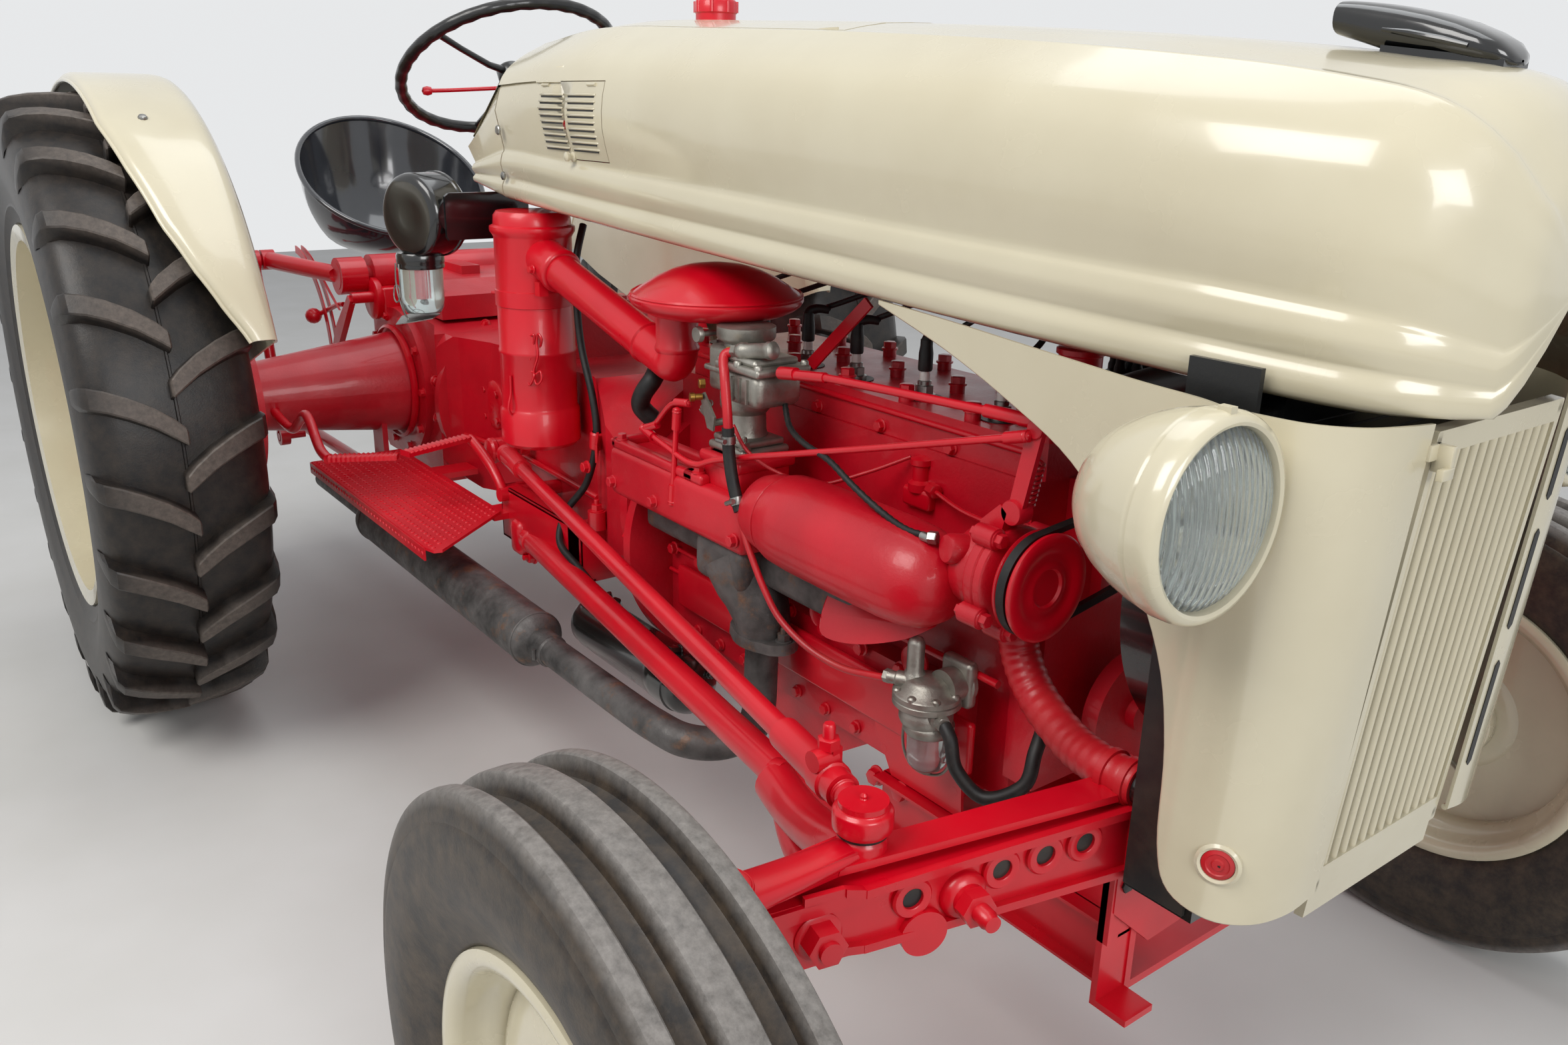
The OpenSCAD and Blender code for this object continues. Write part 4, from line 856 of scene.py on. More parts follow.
def pod():
    p = Piece("pod_ornament", black_gloss, "hood_scoop", angle=35)
    # x, half width, base, top
    rows = [(2266, 10, 1280.8, 1288), (2263, 20, 1281, 1293), (2255, 28, 1282, 1301), (2240, 33, 1283.5, 1309),
        (2220, 35, 1285.8, 1317), (2195, 35, 1289, 1324.5), (2170, 33.5, 1292.5, 1330), (2150, 32, 1296, 1333.5),
        (2132, 31, 1301.5, 1336), (2118, 30, 1305.5, 1337.5), (2110, 29.5, 1308, 1337.8)]
    rings = []
    for x, w, z0, z1 in rows:
        ring = []
        m = (z0 + z1) / 2
        h = (z1 - z0) / 2
        for a in around(28):
            c, q = math.cos(a), math.sin(a)
            ring.append((x, w * math.copysign(abs(c) ** 0.62, c), m + h * math.copysign(abs(q) ** 0.8, q)))
        rings.append(ring)
    # Open tail
    tail = [(2111, y * 0.86, 1323 + (z - 1323) * 0.8) for _, y, z in rings[-1]]
    deep = [(2146, y * 0.8, 1318 + (z - 1323) * 0.7) for _, y, z in rings[-1]]
    grid(p, [[(2267, y * 0.2, 1284.5 + (z - 1284.5) * 0.3) for _, y, z in rings[0]]] + rings + [tail, deep])
    # Side flute
    for s in (-1, 1):
        p.tube([(2236, s * 34, 1296), (2215, s * 36.3, 1301), (2185, s * 35.5, 1307), (2160, s * 33.5, 1311)],
            [2, 3.2, 3.2, 1.6], 10)
    # Foot on the hood
    p.slab([(2262, -22, 1279.6), (2262, 22, 1279.6), (2205, 34, 1287), (2160, 32, 1292.5), (2160, -32, 1292.5),
            (2205, -34, 1287)], UP, 6)


def seat():
    p = Piece("seat_pan", seat_black_painted_sky_reflection, "seat", angle=60)
    centre = Vector((-385, 0, 862.3))
    prof = [(0, 6), (50, 7.5), (98, 11), (161, 39), (197, 91), (217, 153), (226, 231), (229, 330)]
    curve = spline([(0, r, h) for r, h in prof], 10)

    def rim(a):
        # Place along the curve where the bowl meets its sloping rim
        over = [q.z - 22 - (240 - q.y * math.cos(a)) * math.tan(math.radians(33)) for q in curve]
        for i, g in enumerate(over):
            if g >= 0:
                return i - g / (g - over[i - 1]) if i else 0
        return len(curve) - 1
    rings_o, rings_i = [], []
    n, m = 72, 16
    cuts = [rim(a) for a in around(n)]
    for j in range(1, m + 1):
        ro, ri = [], []
        for a, cut in zip(around(n), cuts):
            idx = cut * (j / m)
            i0 = min(int(idx), len(curve) - 2)
            q = curve[i0].lerp(curve[i0 + 1], idx - i0)
            r, h = q.y, q.z
            # Thigh hollows and the raised middle of a pressed pan
            h += 7 * math.exp(-((a if a < math.pi else a - 2 * math.pi) / 0.35) ** 2) * (r / 230)
            ri.append(centre + Vector((r * math.cos(a), r * math.sin(a), h)))
            ro.append(centre + Vector(((r + 3) * math.cos(a), (r + 3) * math.sin(a), h - 3.2)))
        rings_i.append(ri)
        rings_o.append(ro[::-1])
    grid(p, rings_i)
    grid(p, rings_o)
    p.f.append(tuple(p.add(rings_i[0])))
    p.tube([q + (q - centre).normalized() * 1.5 for q in rings_i[-1]], 7, 12, closed=True)
    # Thin black discs on the pan at its four holes: painted shade in place of real openings.
    seat_hole_shade = Piece("seat_slot_shade", black_satin)
    for a, r in ((0.0, 40), (math.pi, 40), (math.pi / 2, 60), (-math.pi / 2, 60)):
        seat_hole_shade.turned(centre + Vector((r * math.cos(a), r * math.sin(a), 8.2)), UP, [(9, 0), (9, 0.7), (0, 0.8)], 24)
    Piece("seat_bolts", steel).bolt(centre + Vector((0, 0, 8.5)), UP, 19, 9)


def steering_wheel():
    p = Piece("steering_rim", plastic, "steering_wheel", body="steering_wheel", angle=50)
    hub = Vector((320, 0, 1299))
    tilt = math.radians(32)
    axis = Vector((-math.sin(tilt), 0, math.cos(tilt)))
    u = Vector(LEFT)
    v = axis.cross(u)
    n, m = 144, 14
    rings = []
    for a in around(n):
        radial = u * math.cos(a) + v * math.sin(a)
        c = hub + radial * 217
        ring = []
        for b in around(m):
            r = 11.6 + 0.9 * math.cos(36 * a) * (1 if math.sin(b) < 0.2 else 0.2)
            ring.append(c + r * (radial * math.cos(b) + axis * math.sin(b)))
        rings.append(ring)
    grid(p, rings + [rings[0]])
    for a in around(3, math.pi / 2):
        radial = u * math.cos(a) + v * math.sin(a)
        p.tube([hub + radial * 18 - axis * 8, hub + radial * 70 - axis * 14, hub + radial * 150 - axis * 8,
            hub + radial * 212], [8, 6.5, 6, 6.5], 12)
    p.turned(hub - axis * 26, axis, [(24, 0), (27, 6), (27, 26), (22, 32), (10, 35), (0, 35.5)], 32)
    post = Piece("steering_post", black_gloss, "steering_column")
    down = -axis
    post.turned(hub + down * 27, down, [(14, 0), (20, 4), (20, 300), (26, 303), (26, 314), (20, 318)], 28)
    stalk = Piece("throttle_lever", red)
    a = hub + down * 40
    stalk.tube(spline([a, a + Vector((-20, -60, -4)), a + Vector((-34, -120, -8)), a + Vector((-40, -160, -10))], 5),
        4, 10)
    stalk.turned(a + Vector((-40, -160, -10)), (-0.2, -1, -0.05), [(0, -3), (7, 0), (9, 8), (7, 16), (0, 19)], 18)


def fenders():
    for s, name in SIDES:
        p = Piece("fender_" + name, cream, *["fenders"] * (s < 0), angle=45)
        y0, wide, R = 576, 180, 655
        first, last, parts = 20.6, 159.4, 96
        plan = [(0, 190), (250, 190), (409, 162), (502, 136), (553, 106), (590, 74), (612, 46), (635, 30)]

        def reach(x):
            x = abs(x)
            for (xa, ya), (xb, yb) in zip(plan, plan[1:]):
                if xa <= x <= xb:
                    return lerp(ya, yb, (x - xa) / (xb - xa))
            return 30
        angles = [first + (last - first) * k / parts for k in range(parts + 1)]
        outer, inner = [], []
        for a in angles:
            c, q = polar(a)
            e = min(wide, reach(R * c))
            prof = [(R - 34, 0), (R - 22, 2.5), (R - 12, 8), (R - 5.5, 15), (R - 2, 24), (R - 0.4, 34), (R, 44)]
            k = min(1.0, e / 90)
            prof = [(r, y * k) for r, y in prof]
            e0 = prof[-1][1]
            prof += [(R, lerp(e0, e - 14 * k, 0.5)), (R - 0.5, e - 14 * k), (R - 3, e - 7 * k), (R - 8, e - 2 * k),
                (R - 15, e)]
            for g, t in ((outer, 0), (inner, 4)):
                row = []
                for r, y in prof:
                    row.append((c * (r - t), s * (y0 + y + (t if r < R - 10 and y < 10 else 0)),
                        AXLE_Z + q * (r - t)))
                g.append(row)
        shell(p, outer, inner)
        # Rolled bead along the outer edge
        p.tube([Vector(r[-1]) for r in outer], 4, 10)
        # Skirt
        pts = [(c * 622, s * 578.5, AXLE_Z + q * 622) for c, q in map(polar, angles)]
        low = [(-540, 825), (-400, 775), (-230, 730), (-110, 730), (-95, 772)]
        low += [(c, AXLE_Z + q) for c, q in (polar(a, 178.6) for a in (122, 105, 90, 75, 58))]
        low += [(95, 772), (110, 730), (230, 730), (400, 775), (540, 825)]
        outline = pts + [(x, s * 578.5, z) for x, z in low]
        p.sheet(outline, [(x, y + s * 4, z) for x, y, z in outline])
        c, q = polar(62)
        nut = Piece("fender_bolts_" + name, steel)
        nut.turned((c * 654.5, s * (y0 + 110), AXLE_Z + q * 654.5), (c, 0, q), [(8, 0), (8, 2), (6, 5), (0, 6.5)], 16)


for make in (hood, hatch_lid, louvre, hood_trim, side_panel, grille, headlights, pod, seat, steering_wheel, fenders):
    make()

# Engine side
def coil(p, a, b, r, wire, turns):
    """A coil spring from a to b."""
    a, b = Vector(a), Vector(b)
    d = b - a
    u, v = frame_of(d)
    n = turns * 12
    p.tube([a + d * (k / n) + r * (math.cos(k * math.pi / 6) * u + math.sin(k * math.pi / 6) * v)
            for k in range(n + 1)], wire, 6)


def linkage(p, points, r, ball=7.0):
    """A rod with a thicker clevis and a ball at each end."""
    pts = [Vector(q) for q in points]
    p.tube(pts, r, 12)
    for q, other in ((pts[0], pts[1]), (pts[-1], pts[-2])):
        d = (other - q).normalized()
        p.rod(q - d * 4, q + d * 26, r * 1.6, 12)
        p.turned(q - d * ball, d, [(0, 0), (ball * 0.7, ball * 0.3), (ball, ball), (ball * 0.7, ball * 1.7),
            (0, ball * 2)], 14)


def rounded(p, lo, hi, r):
    """A box with round edges, as a rounded-square section lofted in z."""
    (x0, y0, z0), (x1, y1, z1) = lo, hi
    steps_round = 3
    rings = []
    for k in range(steps_round + 1):
        a = math.pi / 2 * k / steps_round
        rings.append((r * (1 - math.sin(a)), z0 + r * (1 - math.cos(a))))
    rings += [(d, z0 + z1 - z) for d, z in reversed(rings)]
    idx = []
    for d, z in rings:
        ring = []
        for cx, cy, a0 in ((x1 - r, y1 - r, 0), (x0 + r, y1 - r, 90), (x0 + r, y0 + r, 180), (x1 - r, y0 + r, 270)):
            for c, q in (polar(a0 + 90 * k / 4, r - d) for k in range(5)):
                ring.append((cx + c, cy + q, z))
        idx.append(p.add(ring))
    for a, b in zip(idx, idx[1:]):
        p.skin(a, b)
    p.caps(idx)


def clamp(p, q, d, r, wide=9):
    """A worm-drive hose clamp."""
    q, d = Vector(q), Vector(d).normalized()
    p.turned(q - d * wide / 2, d, [(r, 0), (r + 1.2, 0.4), (r + 1.2, wide - 0.4), (r, wide)], 24, closed=True)
    u, v = frame_of(d)
    p.rod(q + u * (r + 3) - v * 9, q + u * (r + 3) + v * 9, 3.4, 8)


def engine_side():
    cast = Piece("intake_casting", red_cast, "intake_manifold")
    rounded(cast, (1166, -260, 668), (1520, -185, 745), 12)
    # Raised rim round the heat riser pocket
    for lo, hi in (((1170, -258, 742), (1420, -240, 757)), ((1170, -200, 742), (1420, -184, 757)),
                   ((1166, -258, 742), (1186, -184, 757)), ((1372, -258, 742), (1400, -184, 757))):
        rounded(cast, lo, hi, 5)
    for x in (1225, 1440):
        rounded(cast, (x - 40, -192, 680), (x + 40, -152.5, 740), 10)
    rounded(cast, (1398, -242, 738), (1484, -150, 789.5), 9)
    rounded(cast, (1392, -244, 772), (1490, -146, 789.5), 6)
    blob = [(0, -52), (22, -50), (38, -42), (47, -30), (52, -14), (54, 0), (55.5, 8), (55.5, 9), (54, 10), (54, 13),
        (57.5, 15), (60, 24), (62, 60), (62.5, 140), (62, 230), (60, 262), (54, 286), (42, 305), (24, 316), (0, 319)]
    cast.turned((1562, -226, 735), FORE, blob, 56)
    # A leaf of cast flash under the housing
    leaf = spline([(1640, -200, 662), (1652, -226, 630), (1662, -232, 604), (1720, -228, 612), (1790, -214, 640),
                   (1830, -200, 668)], 5)
    cast.sheet(leaf, [q + Vector((0, 5, 3)) for q in leaf])
    cast.bolts([(x, -249, 757) for x in (1190, 1402)], UP, 13, 7)
    cast.bolts([(x, -260, 690) for x in (1180, 1300, 1505)], RIGHT, 14, 8)
    # Exhaust casting in black with its flange and down pipe
    burnt = Piece("exhaust_manifold", iron, "exhaust")
    rounded(burnt, (1190, -212, 612), (1700, -152.5, 660), 12)
    rounded(burnt, (1380, -246, 600), (1500, -170, 668), 16)
    neck = [(1440, -206, 640), (1458, -204, 612), (1478, -202, 584), (1490, -201, 560), (1492, -200, 540)]
    burnt.tube(spline(neck, 4), [54, 53, 52, 51, 50, 49, 47, 45, 44, 43, 42, 41, 40, 39, 38, 38, 38], 24)
    burnt.slab([(1492 + 62 * math.cos(a) * (1 if abs(math.cos(a)) > 0.75 else 0.86), -200 + 40 * math.sin(a), 526)
                for a in around(28)], UP, 15, 1.5)
    burnt.bolts([(x, -200, 541) for x in (1445, 1539)], UP, 16, 10, stud=8)
    drop = [(1491, -200, 540), (1488, -200, 490), (1487, -200, 452), (1489, -203, 424), (1502, -220, 406),
        (1512, -250, 398), (1507, -290, 397), (1480, -325, 401), (1430, -338, 404), (1348, -340, 402),
        (1062, -340, 397)]
    burnt.tube(spline(drop, 7), 24, 20)
    burnt.turned((280, -340, 397), FORE, [(22, -340), (22, -8), (24, -6), (40, 0), (45, 8), (46, 14), (46, 766),
        (45, 772), (40, 780), (27, 788), (26, 830), (24.4, 832)], 40)
    for x in (300, 1040):
        burnt.turned((x, -340, 397), FORE, [(46, 0), (47.6, 1.5), (47.6, 7), (46, 8.5)], 40, closed=True)
    clamp(burnt, (1100, -340, 397), FORE, 26, 14)

    # Carburettor
    c = Piece("carburettor_body", carb_grey, "carburettor")
    rounded(c, (1398, -232, 790.4), (1482, -152, 802), 5)
    rounded(c, (1402, -226, 802), (1478, -158, 812), 4)
    c.turned((1432, -192, 812), UP, [(31, 0), (29, 6), (28, 30), (33, 36), (35, 40), (35, 62), (31, 68), (30, 84),
        (33, 88), (34, 92), (34, 96), (31, 100), (30, 126), (38, 131), (40, 134), (40, 148), (36, 150)], 40)
    rounded(c, (1392, -228, 872), (1462, -160, 934), 8)
    rounded(c, (1388, -232, 898), (1466, -156, 906), 3)
    rounded(c, (1448, -246, 868), (1532, -170, 914), 13)
    rounded(c, (1442, -251, 912), (1540, -164, 923), 4)
    rounded(c, (1452, -244, 922), (1524, -172, 932), 5)
    for x, y in ((1450, -244), (1532, -244), (1491, -247), (1450, -170), (1532, -170)):
        c.turned((x, y, 921), UP, [(5.5, 0), (5.5, 5), (4, 7), (0, 7.4)], 14)
    # Fuel inlet, its nut and the ribs on the bowl
    a, b = Vector((1484, -236, 938)), Vector((1544, -226, 948))
    c.turned(a, b - a, [(7, -6), (10.5, -3), (11.5, 0), (11.5, 8), (10, 10), (10, 48), (11.5, 50), (11.5, 58),
        (8, 61), (0, 61.5)], 24)
    c.hexagon(a - (b - a).normalized() * 14, b - a, 17, 9)
    for k in range(4):
        c.box((1462 + 16 * k, -248.4, 874), (1465 + 16 * k, -245, 906))
    # Choke and throttle shafts with their levers
    c.rod((1385, -240, 945), (1385, -150, 945), 4, 12)
    c.turned((1385, -242, 945), LEFT, [(10, 0), (11, 2), (11, 7), (8, 9)], 20)
    c.rod((1414, -236, 828), (1414, -150, 828), 5, 12)
    c.slab([(1406, -238, 820), (1420, -238, 818), (1424, -238, 838), (1398, -238, 868), (1388, -238, 862)], LEFT, 3)
    c.slab([(1376, -230, 836), (1408, -230, 822), (1412, -230, 834), (1382, -230, 850)], LEFT, 3)
    coil(c, (1372, -224, 838), (1398, -226, 852), 4, 0.9, 6)
    for dx in (1, -1):
        c.bolt((1440 + dx * 33, -194 - 28 * dx, 802), UP, 13, 9, stud=6)
    fittings = Piece("carburettor_brass", brass)
    fittings.hexagon((1397, -236, 880), (-0.35, -1, 0), 12, 8)
    fittings.turned((1397, -240, 862), (-0.35, -1, 0), [(4.5, 0), (4.5, 10), (6, 11), (6, 17), (0, 18)], 14)
    fittings.hexagon(a - (b - a).normalized() * 24, b - a, 13, 10)
    fittings.turned((1470, -251, 880), RIGHT, [(5, 0), (5, 3), (3, 4), (0, 4)], 14)

    # Fuel line, with its short rubber piece and worm clamps
    lines = Piece("fuel_line", hose_red, angle=50)
    lines.tube(spline([(1474, -238, 936), (1462, -248, 930), (1478, -258, 905), (1490, -262, 862), (1493, -262, 832)],
        6), 6.5, 12)
    lines.tube(spline([(1520, -262, 740), (1529, -264, 718), (1550, -265, 686), (1580, -264, 646), (1612, -261, 614),
        (1660, -252, 590), (1712, -240, 580), (1760, -230, 586), (1790, -224, 592)], 6), 4.6, 12)
    lines.tube(spline([(1472, -240, 838), (1500, -236, 808), (1540, -216, 786), (1590, -190, 778), (1640, -150, 800),
                       (1684, -116, 826)], 6), 2.6, 10)
    rubber = Piece("fuel_hose", hose_black, angle=50)
    rubber.tube(spline([(1492, -262, 842), (1494, -262, 812), (1501, -262, 780), (1512, -262, 752),
        (1521, -262, 736)], 6), 8.4, 14)
    rings = Piece("hose_clamps", steel)
    clamp(rings, (1493, -262, 826), (0.05, 0, -1), 8.6, 11)
    clamp(rings, (1514, -262, 748), (0.45, 0, -1), 8.6, 11)

    # Air intake: lid on its own neck, mitred elbow and drum
    pan = Piece("air_intake", red, "air_cleaner", angle=38)
    pan.turned((1320, -165, 0), UP, [(0, 962.5), (56, 962.5), (58, 958), (96, 960), (112, 967), (120, 973),
        (123.5, 979), (123.5, 983), (121, 986), (118, 988), (104, 998), (84, 1010), (62, 1020), (40, 1026),
        (18, 1029), (0, 1030)], 72)
    pan.turned((1320, -165, 0), UP, [(121, 984), (123, 987), (121, 989.5), (118, 988)], 72, closed=True)
    bend = [(830, -200, 995), (1180, -193, 896), (1236, -192, 881)]
    pan.tube(bend, 30, 32)
    pan.tube(spline([(1226, -192, 884), (1244, -191, 880), (1254, -190, 892), (1254, -190, 912)], 5), 30.4, 32)
    pan.turned((1254, -190, 896), UP, [(31, 0), (33, 3), (33, 8), (31, 11), (31, 52), (34, 55), (34, 61), (32, 64),
        (32, 78)], 36)
    pan.turned((1172, -193.2, 898.2), (56, 1, -15), [(30, 0), (32.6, 2), (32.6, 7), (30, 9)], 32, closed=True)
    drum = [(0, 655), (52, 655), (64, 659), (70, 666), (70, 722), (67, 726), (66, 730), (66, 822), (67.5, 824),
        (67.5, 829), (66, 831), (66, 1020), (68, 1024), (72, 1030), (72.5, 1034), (72, 1038), (66, 1041), (65, 1056),
        (60, 1063), (0, 1065)]
    pan.turned((800, -195, 0), UP, drum, 56)
    strap = Piece("air_cleaner_clips", red)
    for ca, sa in (polar(200), polar(290)):
        strap.tube(spline([(800 + r * ca, -195 + r * sa, z) for r, z in ((71, 722), (77, 735), (70, 760), (69, 790))],
            5), 2.2, 8)
    strap.turned((800, -195, 905), UP, [(66, 0), (68.4, 1), (68.4, 27), (66, 28)], 56, closed=True)
    strap.bolt((742, -232, 919), (-1, -0.6, 0), 13, 8, stud=10)

    # Governor with its pulley, belt, lever, spring and rods
    g = Piece("governor_body", red_cast, "governor", angle=38)
    g.turned((1872, -190, 762), FORE, [(0, 0), (32, 0), (42, 3), (47, 10), (48, 26), (46, 34), (46, 38), (56, 40),
        (57, 43), (57, 52), (55, 54), (57, 56), (57, 64), (55, 66), (30, 70), (28, 84), (0, 84)], 48)
    g.turned((1884, -226, 786), (-0.3, -1, 0.15), [(17, -8), (17, 12), (15, 16), (8, 17), (0, 17)], 24)
    rounded(g, (1880, -180, 722), (1922, -120.5, 800), 10)
    for c, q in (polar(a, 62) for a in (35, 125, 215, 262, 325)):
        y, z = -190 + c, 762 + q
        g.turned((1912, y, z), FORE, [(12, 0), (12, 27), (10, 28)], 18)
        g.bolt((1939, y, z), FORE, 14, 8)
        g.bolt((1913, y, z), AFT, 13, 7)
    g.slab([(1896, -212, 800), (1928, -212, 806), (1936, -212, 838), (1926, -212, 846), (1900, -212, 822)], LEFT, 24,
        1)
    lever = [(1932, -208, 836), (1950, -208, 832), (1972, -208, 934), (1968, -208, 944), (1958, -208, 944),
        (1952, -208, 936)]
    g.slab(lever, LEFT, 7, 0.6)
    g.turned((1941, -212, 840), LEFT, [(13, 0), (14, 2), (14, 20), (12, 22)], 22)
    g.turned((1962, -211, 934), LEFT, [(9, 0), (10, 1), (10, 12), (8, 13)], 20)
    pulley = Piece("governor_pulley", red, angle=38)
    pulley.turned((1954, -190, 764), FORE, [(16, 0), (50, 0), (58, 3), (59, 5), (50, 11), (50, 17), (59, 23),
        (60, 25), (60, 28), (57, 30), (44, 30), (40, 27), (30, 26), (26, 28), (22, 28), (20, 25), (0, 25)], 64)
    belt = Piece("fan_belt", hose_black)
    route = [(-190 + c, 764 + q) for c, q in (polar(a, 57) for a in range(98, 276, 6))]
    route += [(c, 790 + q) for c, q in (polar(a, 50) for a in range(-84, 98, 6))]
    rows = []
    m = len(route)
    for k in range(m):
        (ya, za), (yb, zb) = route[k - 1], route[(k + 1) % m]
        n = Vector((0, zb - za, -(yb - ya))).normalized()
        q = Vector((1968, route[k][0], route[k][1]))
        if n.dot(q - Vector((1968, -95, 777))) < 0:
            n = -n
        rows.append([q + Vector((x, 0, 0)) + n * out for x, out in ((-5.5, 1.5), (5.5, 1.5), (3.4, -6), (-3.4, -6))])
    grid(belt, rows + [rows[0]])
    pump = Piece("fan_pulley", red, body="fan", angle=38)
    pump.turned((1955, 0, 790), FORE, [(12, 0), (44, 0), (53, 3), (53.5, 5), (44, 11), (44, 16), (53.5, 22),
        (53.5, 25), (44, 27), (12, 27)], 48, closed=True)
    rods = Piece("throttle_rods", red, "control_rods", angle=45)
    linkage(rods, spline([(1272, -258, 792), (1330, -258, 780), (1400, -256, 770), (1466, -250, 792),
        (1710, -228, 858), (1954, -213, 926)], 5), 4.2)
    linkage(rods, spline([(1560, -226, 922), (1640, -222, 930), (1860, -208, 938), (1962, -200, 940)], 5), 5.2)
    rods.rod((1566, -226, 922), (1640, -222, 930), 6.6, 14)
    rods.rod((1890, -206, 939), (1950, -201, 940), 7.4, 14)
    linkage(rods, [(1361, -258, 836), (1347, -258, 702)], 4.0)
    linkage(rods, spline([(1376, -250, 850), (1340, -254, 842), (1300, -256, 806), (1280, -258, 796)], 4), 3.6, 6)
    coil(rods, (1951, -190, 896), (1941, -190, 846), 9, 2.0, 9)
    rods.tube([(1951, -190, 896), (1956, -198, 912), (1959, -206, 916)], 1.8, 8)
    strip = [(1460, -112, 908), (1478, -112, 900), (1592, -112, 1000), (1578, -112, 1010)]
    rods.slab(strip, LEFT, 4)
    cable = Piece("throttle_cable", hose_black, angle=50)
    path = spline([(1526, -196, 872), (1556, -210, 850), (1606, -226, 842), (1669, -236, 836), (1720, -240, 818),
        (1772, -240, 800), (1820, -242, 792), (1860, -236, 794)], 10)
    cable.tube(path, [4.3 if k % 2 else 3.6 for k in range(len(path))], 10)
    nuts = Piece("cable_nuts", steel)
    nuts.hexagon((1852, -240, 793), (1, 0.4, 0.1), 13, 10)
    nuts.turned((1842, -241, 792), FORE, [(5.4, 0), (5.4, 12), (4.4, 13)], 14)

    # Fuel pump and its glass bowl with a wire bail
    f = Piece("fuel_pump_body", carb_grey, "fuel_pump", angle=38)
    q = (1822, -198, 0)
    f.turned(q, UP, [(24, 541), (31, 543), (33, 548), (33, 556), (29, 562), (40, 566), (42, 568), (42, 574),
        (40.5, 575.2), (42, 576.4), (42, 582), (40, 584), (31, 588), (26, 596), (17, 601), (0, 602)], 44)
    for k in range(8):
        ca, sa = math.cos(k * math.pi / 4 + 0.3), math.sin(k * math.pi / 4 + 0.3)
        f.turned((q[0] + 37 * ca, q[1] + 37 * sa, 582), UP, [(5.5, 0), (5.5, 4), (3.5, 6), (0, 6)], 12)
    f.turned((1806, -205, 596), UP, [(15, 0), (13, 6), (10.5, 10), (10.5, 44), (8, 50), (3, 53), (0, 53.4)], 24)
    f.turned((1786, -222, 592), (1, 0.6, 0), [(8, -6), (8, 4), (10, 6), (10, 24)], 18)
    f.hexagon((1784, -223, 592), (-1, -0.3, 0), 15, 9)
    rounded(f, (1812, -170, 562), (1862, -152.5, 622), 7)
    f.turned((1838, -176, 590), LEFT, [(22, -14), (22, 10), (26, 14), (26, 20)], 28)
    f.turned((1846, -206, 560), (0.9, -0.3, 0), [(11, 0), (11, 10), (8.5, 12), (8.5, 24)], 18)
    f.hexagon((1860, -210, 560), (0.9, -0.3, 0), 17, 9)
    f.turned((1826, -196, 0), UP, [(20, 530), (29, 530), (31, 533), (31, 541), (28, 545), (18, 548)], 40)
    f.turned((1826, -196, 0), UP, [(0, 471), (6, 472), (9, 475), (8, 480), (0, 481)], 20)
    f.tube(spline([(1795, -205, 545), (1793, -206, 530), (1795, -207, 500), (1806, -204, 478), (1826, -200, 473),
        (1846, -190, 478), (1857, -186, 500), (1859, -186, 530), (1857, -187, 545)], 5), 1.8, 8)
    bowl = Piece("sediment_glass", glass, "glassware", angle=50)
    bowl.turned((1826, -196, 0), UP, [(26, 532), (26, 526), (25.6, 505), (24.5, 490), (20, 483), (8, 480.5), (0, 480),
        (0, 483.5), (8, 484), (18, 486), (21, 491), (22.6, 506), (23, 526), (23, 532)], 40)
    bowl.turned((600, -320, 0), UP, [(38, 972), (38, 960), (37.6, 900), (36, 884), (31, 874), (12, 870.5), (0, 870),
        (0, 873.5), (12, 874), (29, 877), (33.5, 885), (35, 900), (35.4, 972)], 44)

    # Hoses
    h = Piece("radiator_hose", hose_red, "hoses", angle=60)
    route = spline([(1908, -150, 721), (1910, -150, 690), (1920, -150, 652), (1954, -156, 616), (2020, -176, 598),
        (2075, -190, 598), (2124, -190, 598)], 16)
    h.tube(route, [22.2 + (0.9 if k % 4 < 2 else 0) for k in range(len(route))], 28)
    for k in (4, 84, 91):
        d = (route[k + 1] - route[k]).normalized()
        h.turned(route[k] - d * 5, d, [(22, 0), (25.6, 1), (25.6, 9), (22, 10)], 32, closed=True)
        u, v = frame_of(d)
        h.rod(route[k] - u * 27 + v * 10, route[k] - u * 27 - v * 10, 3.4, 8)
    small = Piece("pump_hose", hose_black, angle=60)
    small.tube(spline([(1866, -211, 559), (1880, -213, 546), (1896, -216, 515), (1932, -205, 493), (1966, -180, 517),
                       (1963, -162, 552), (1954, -140, 575)], 8), 8.4, 16)


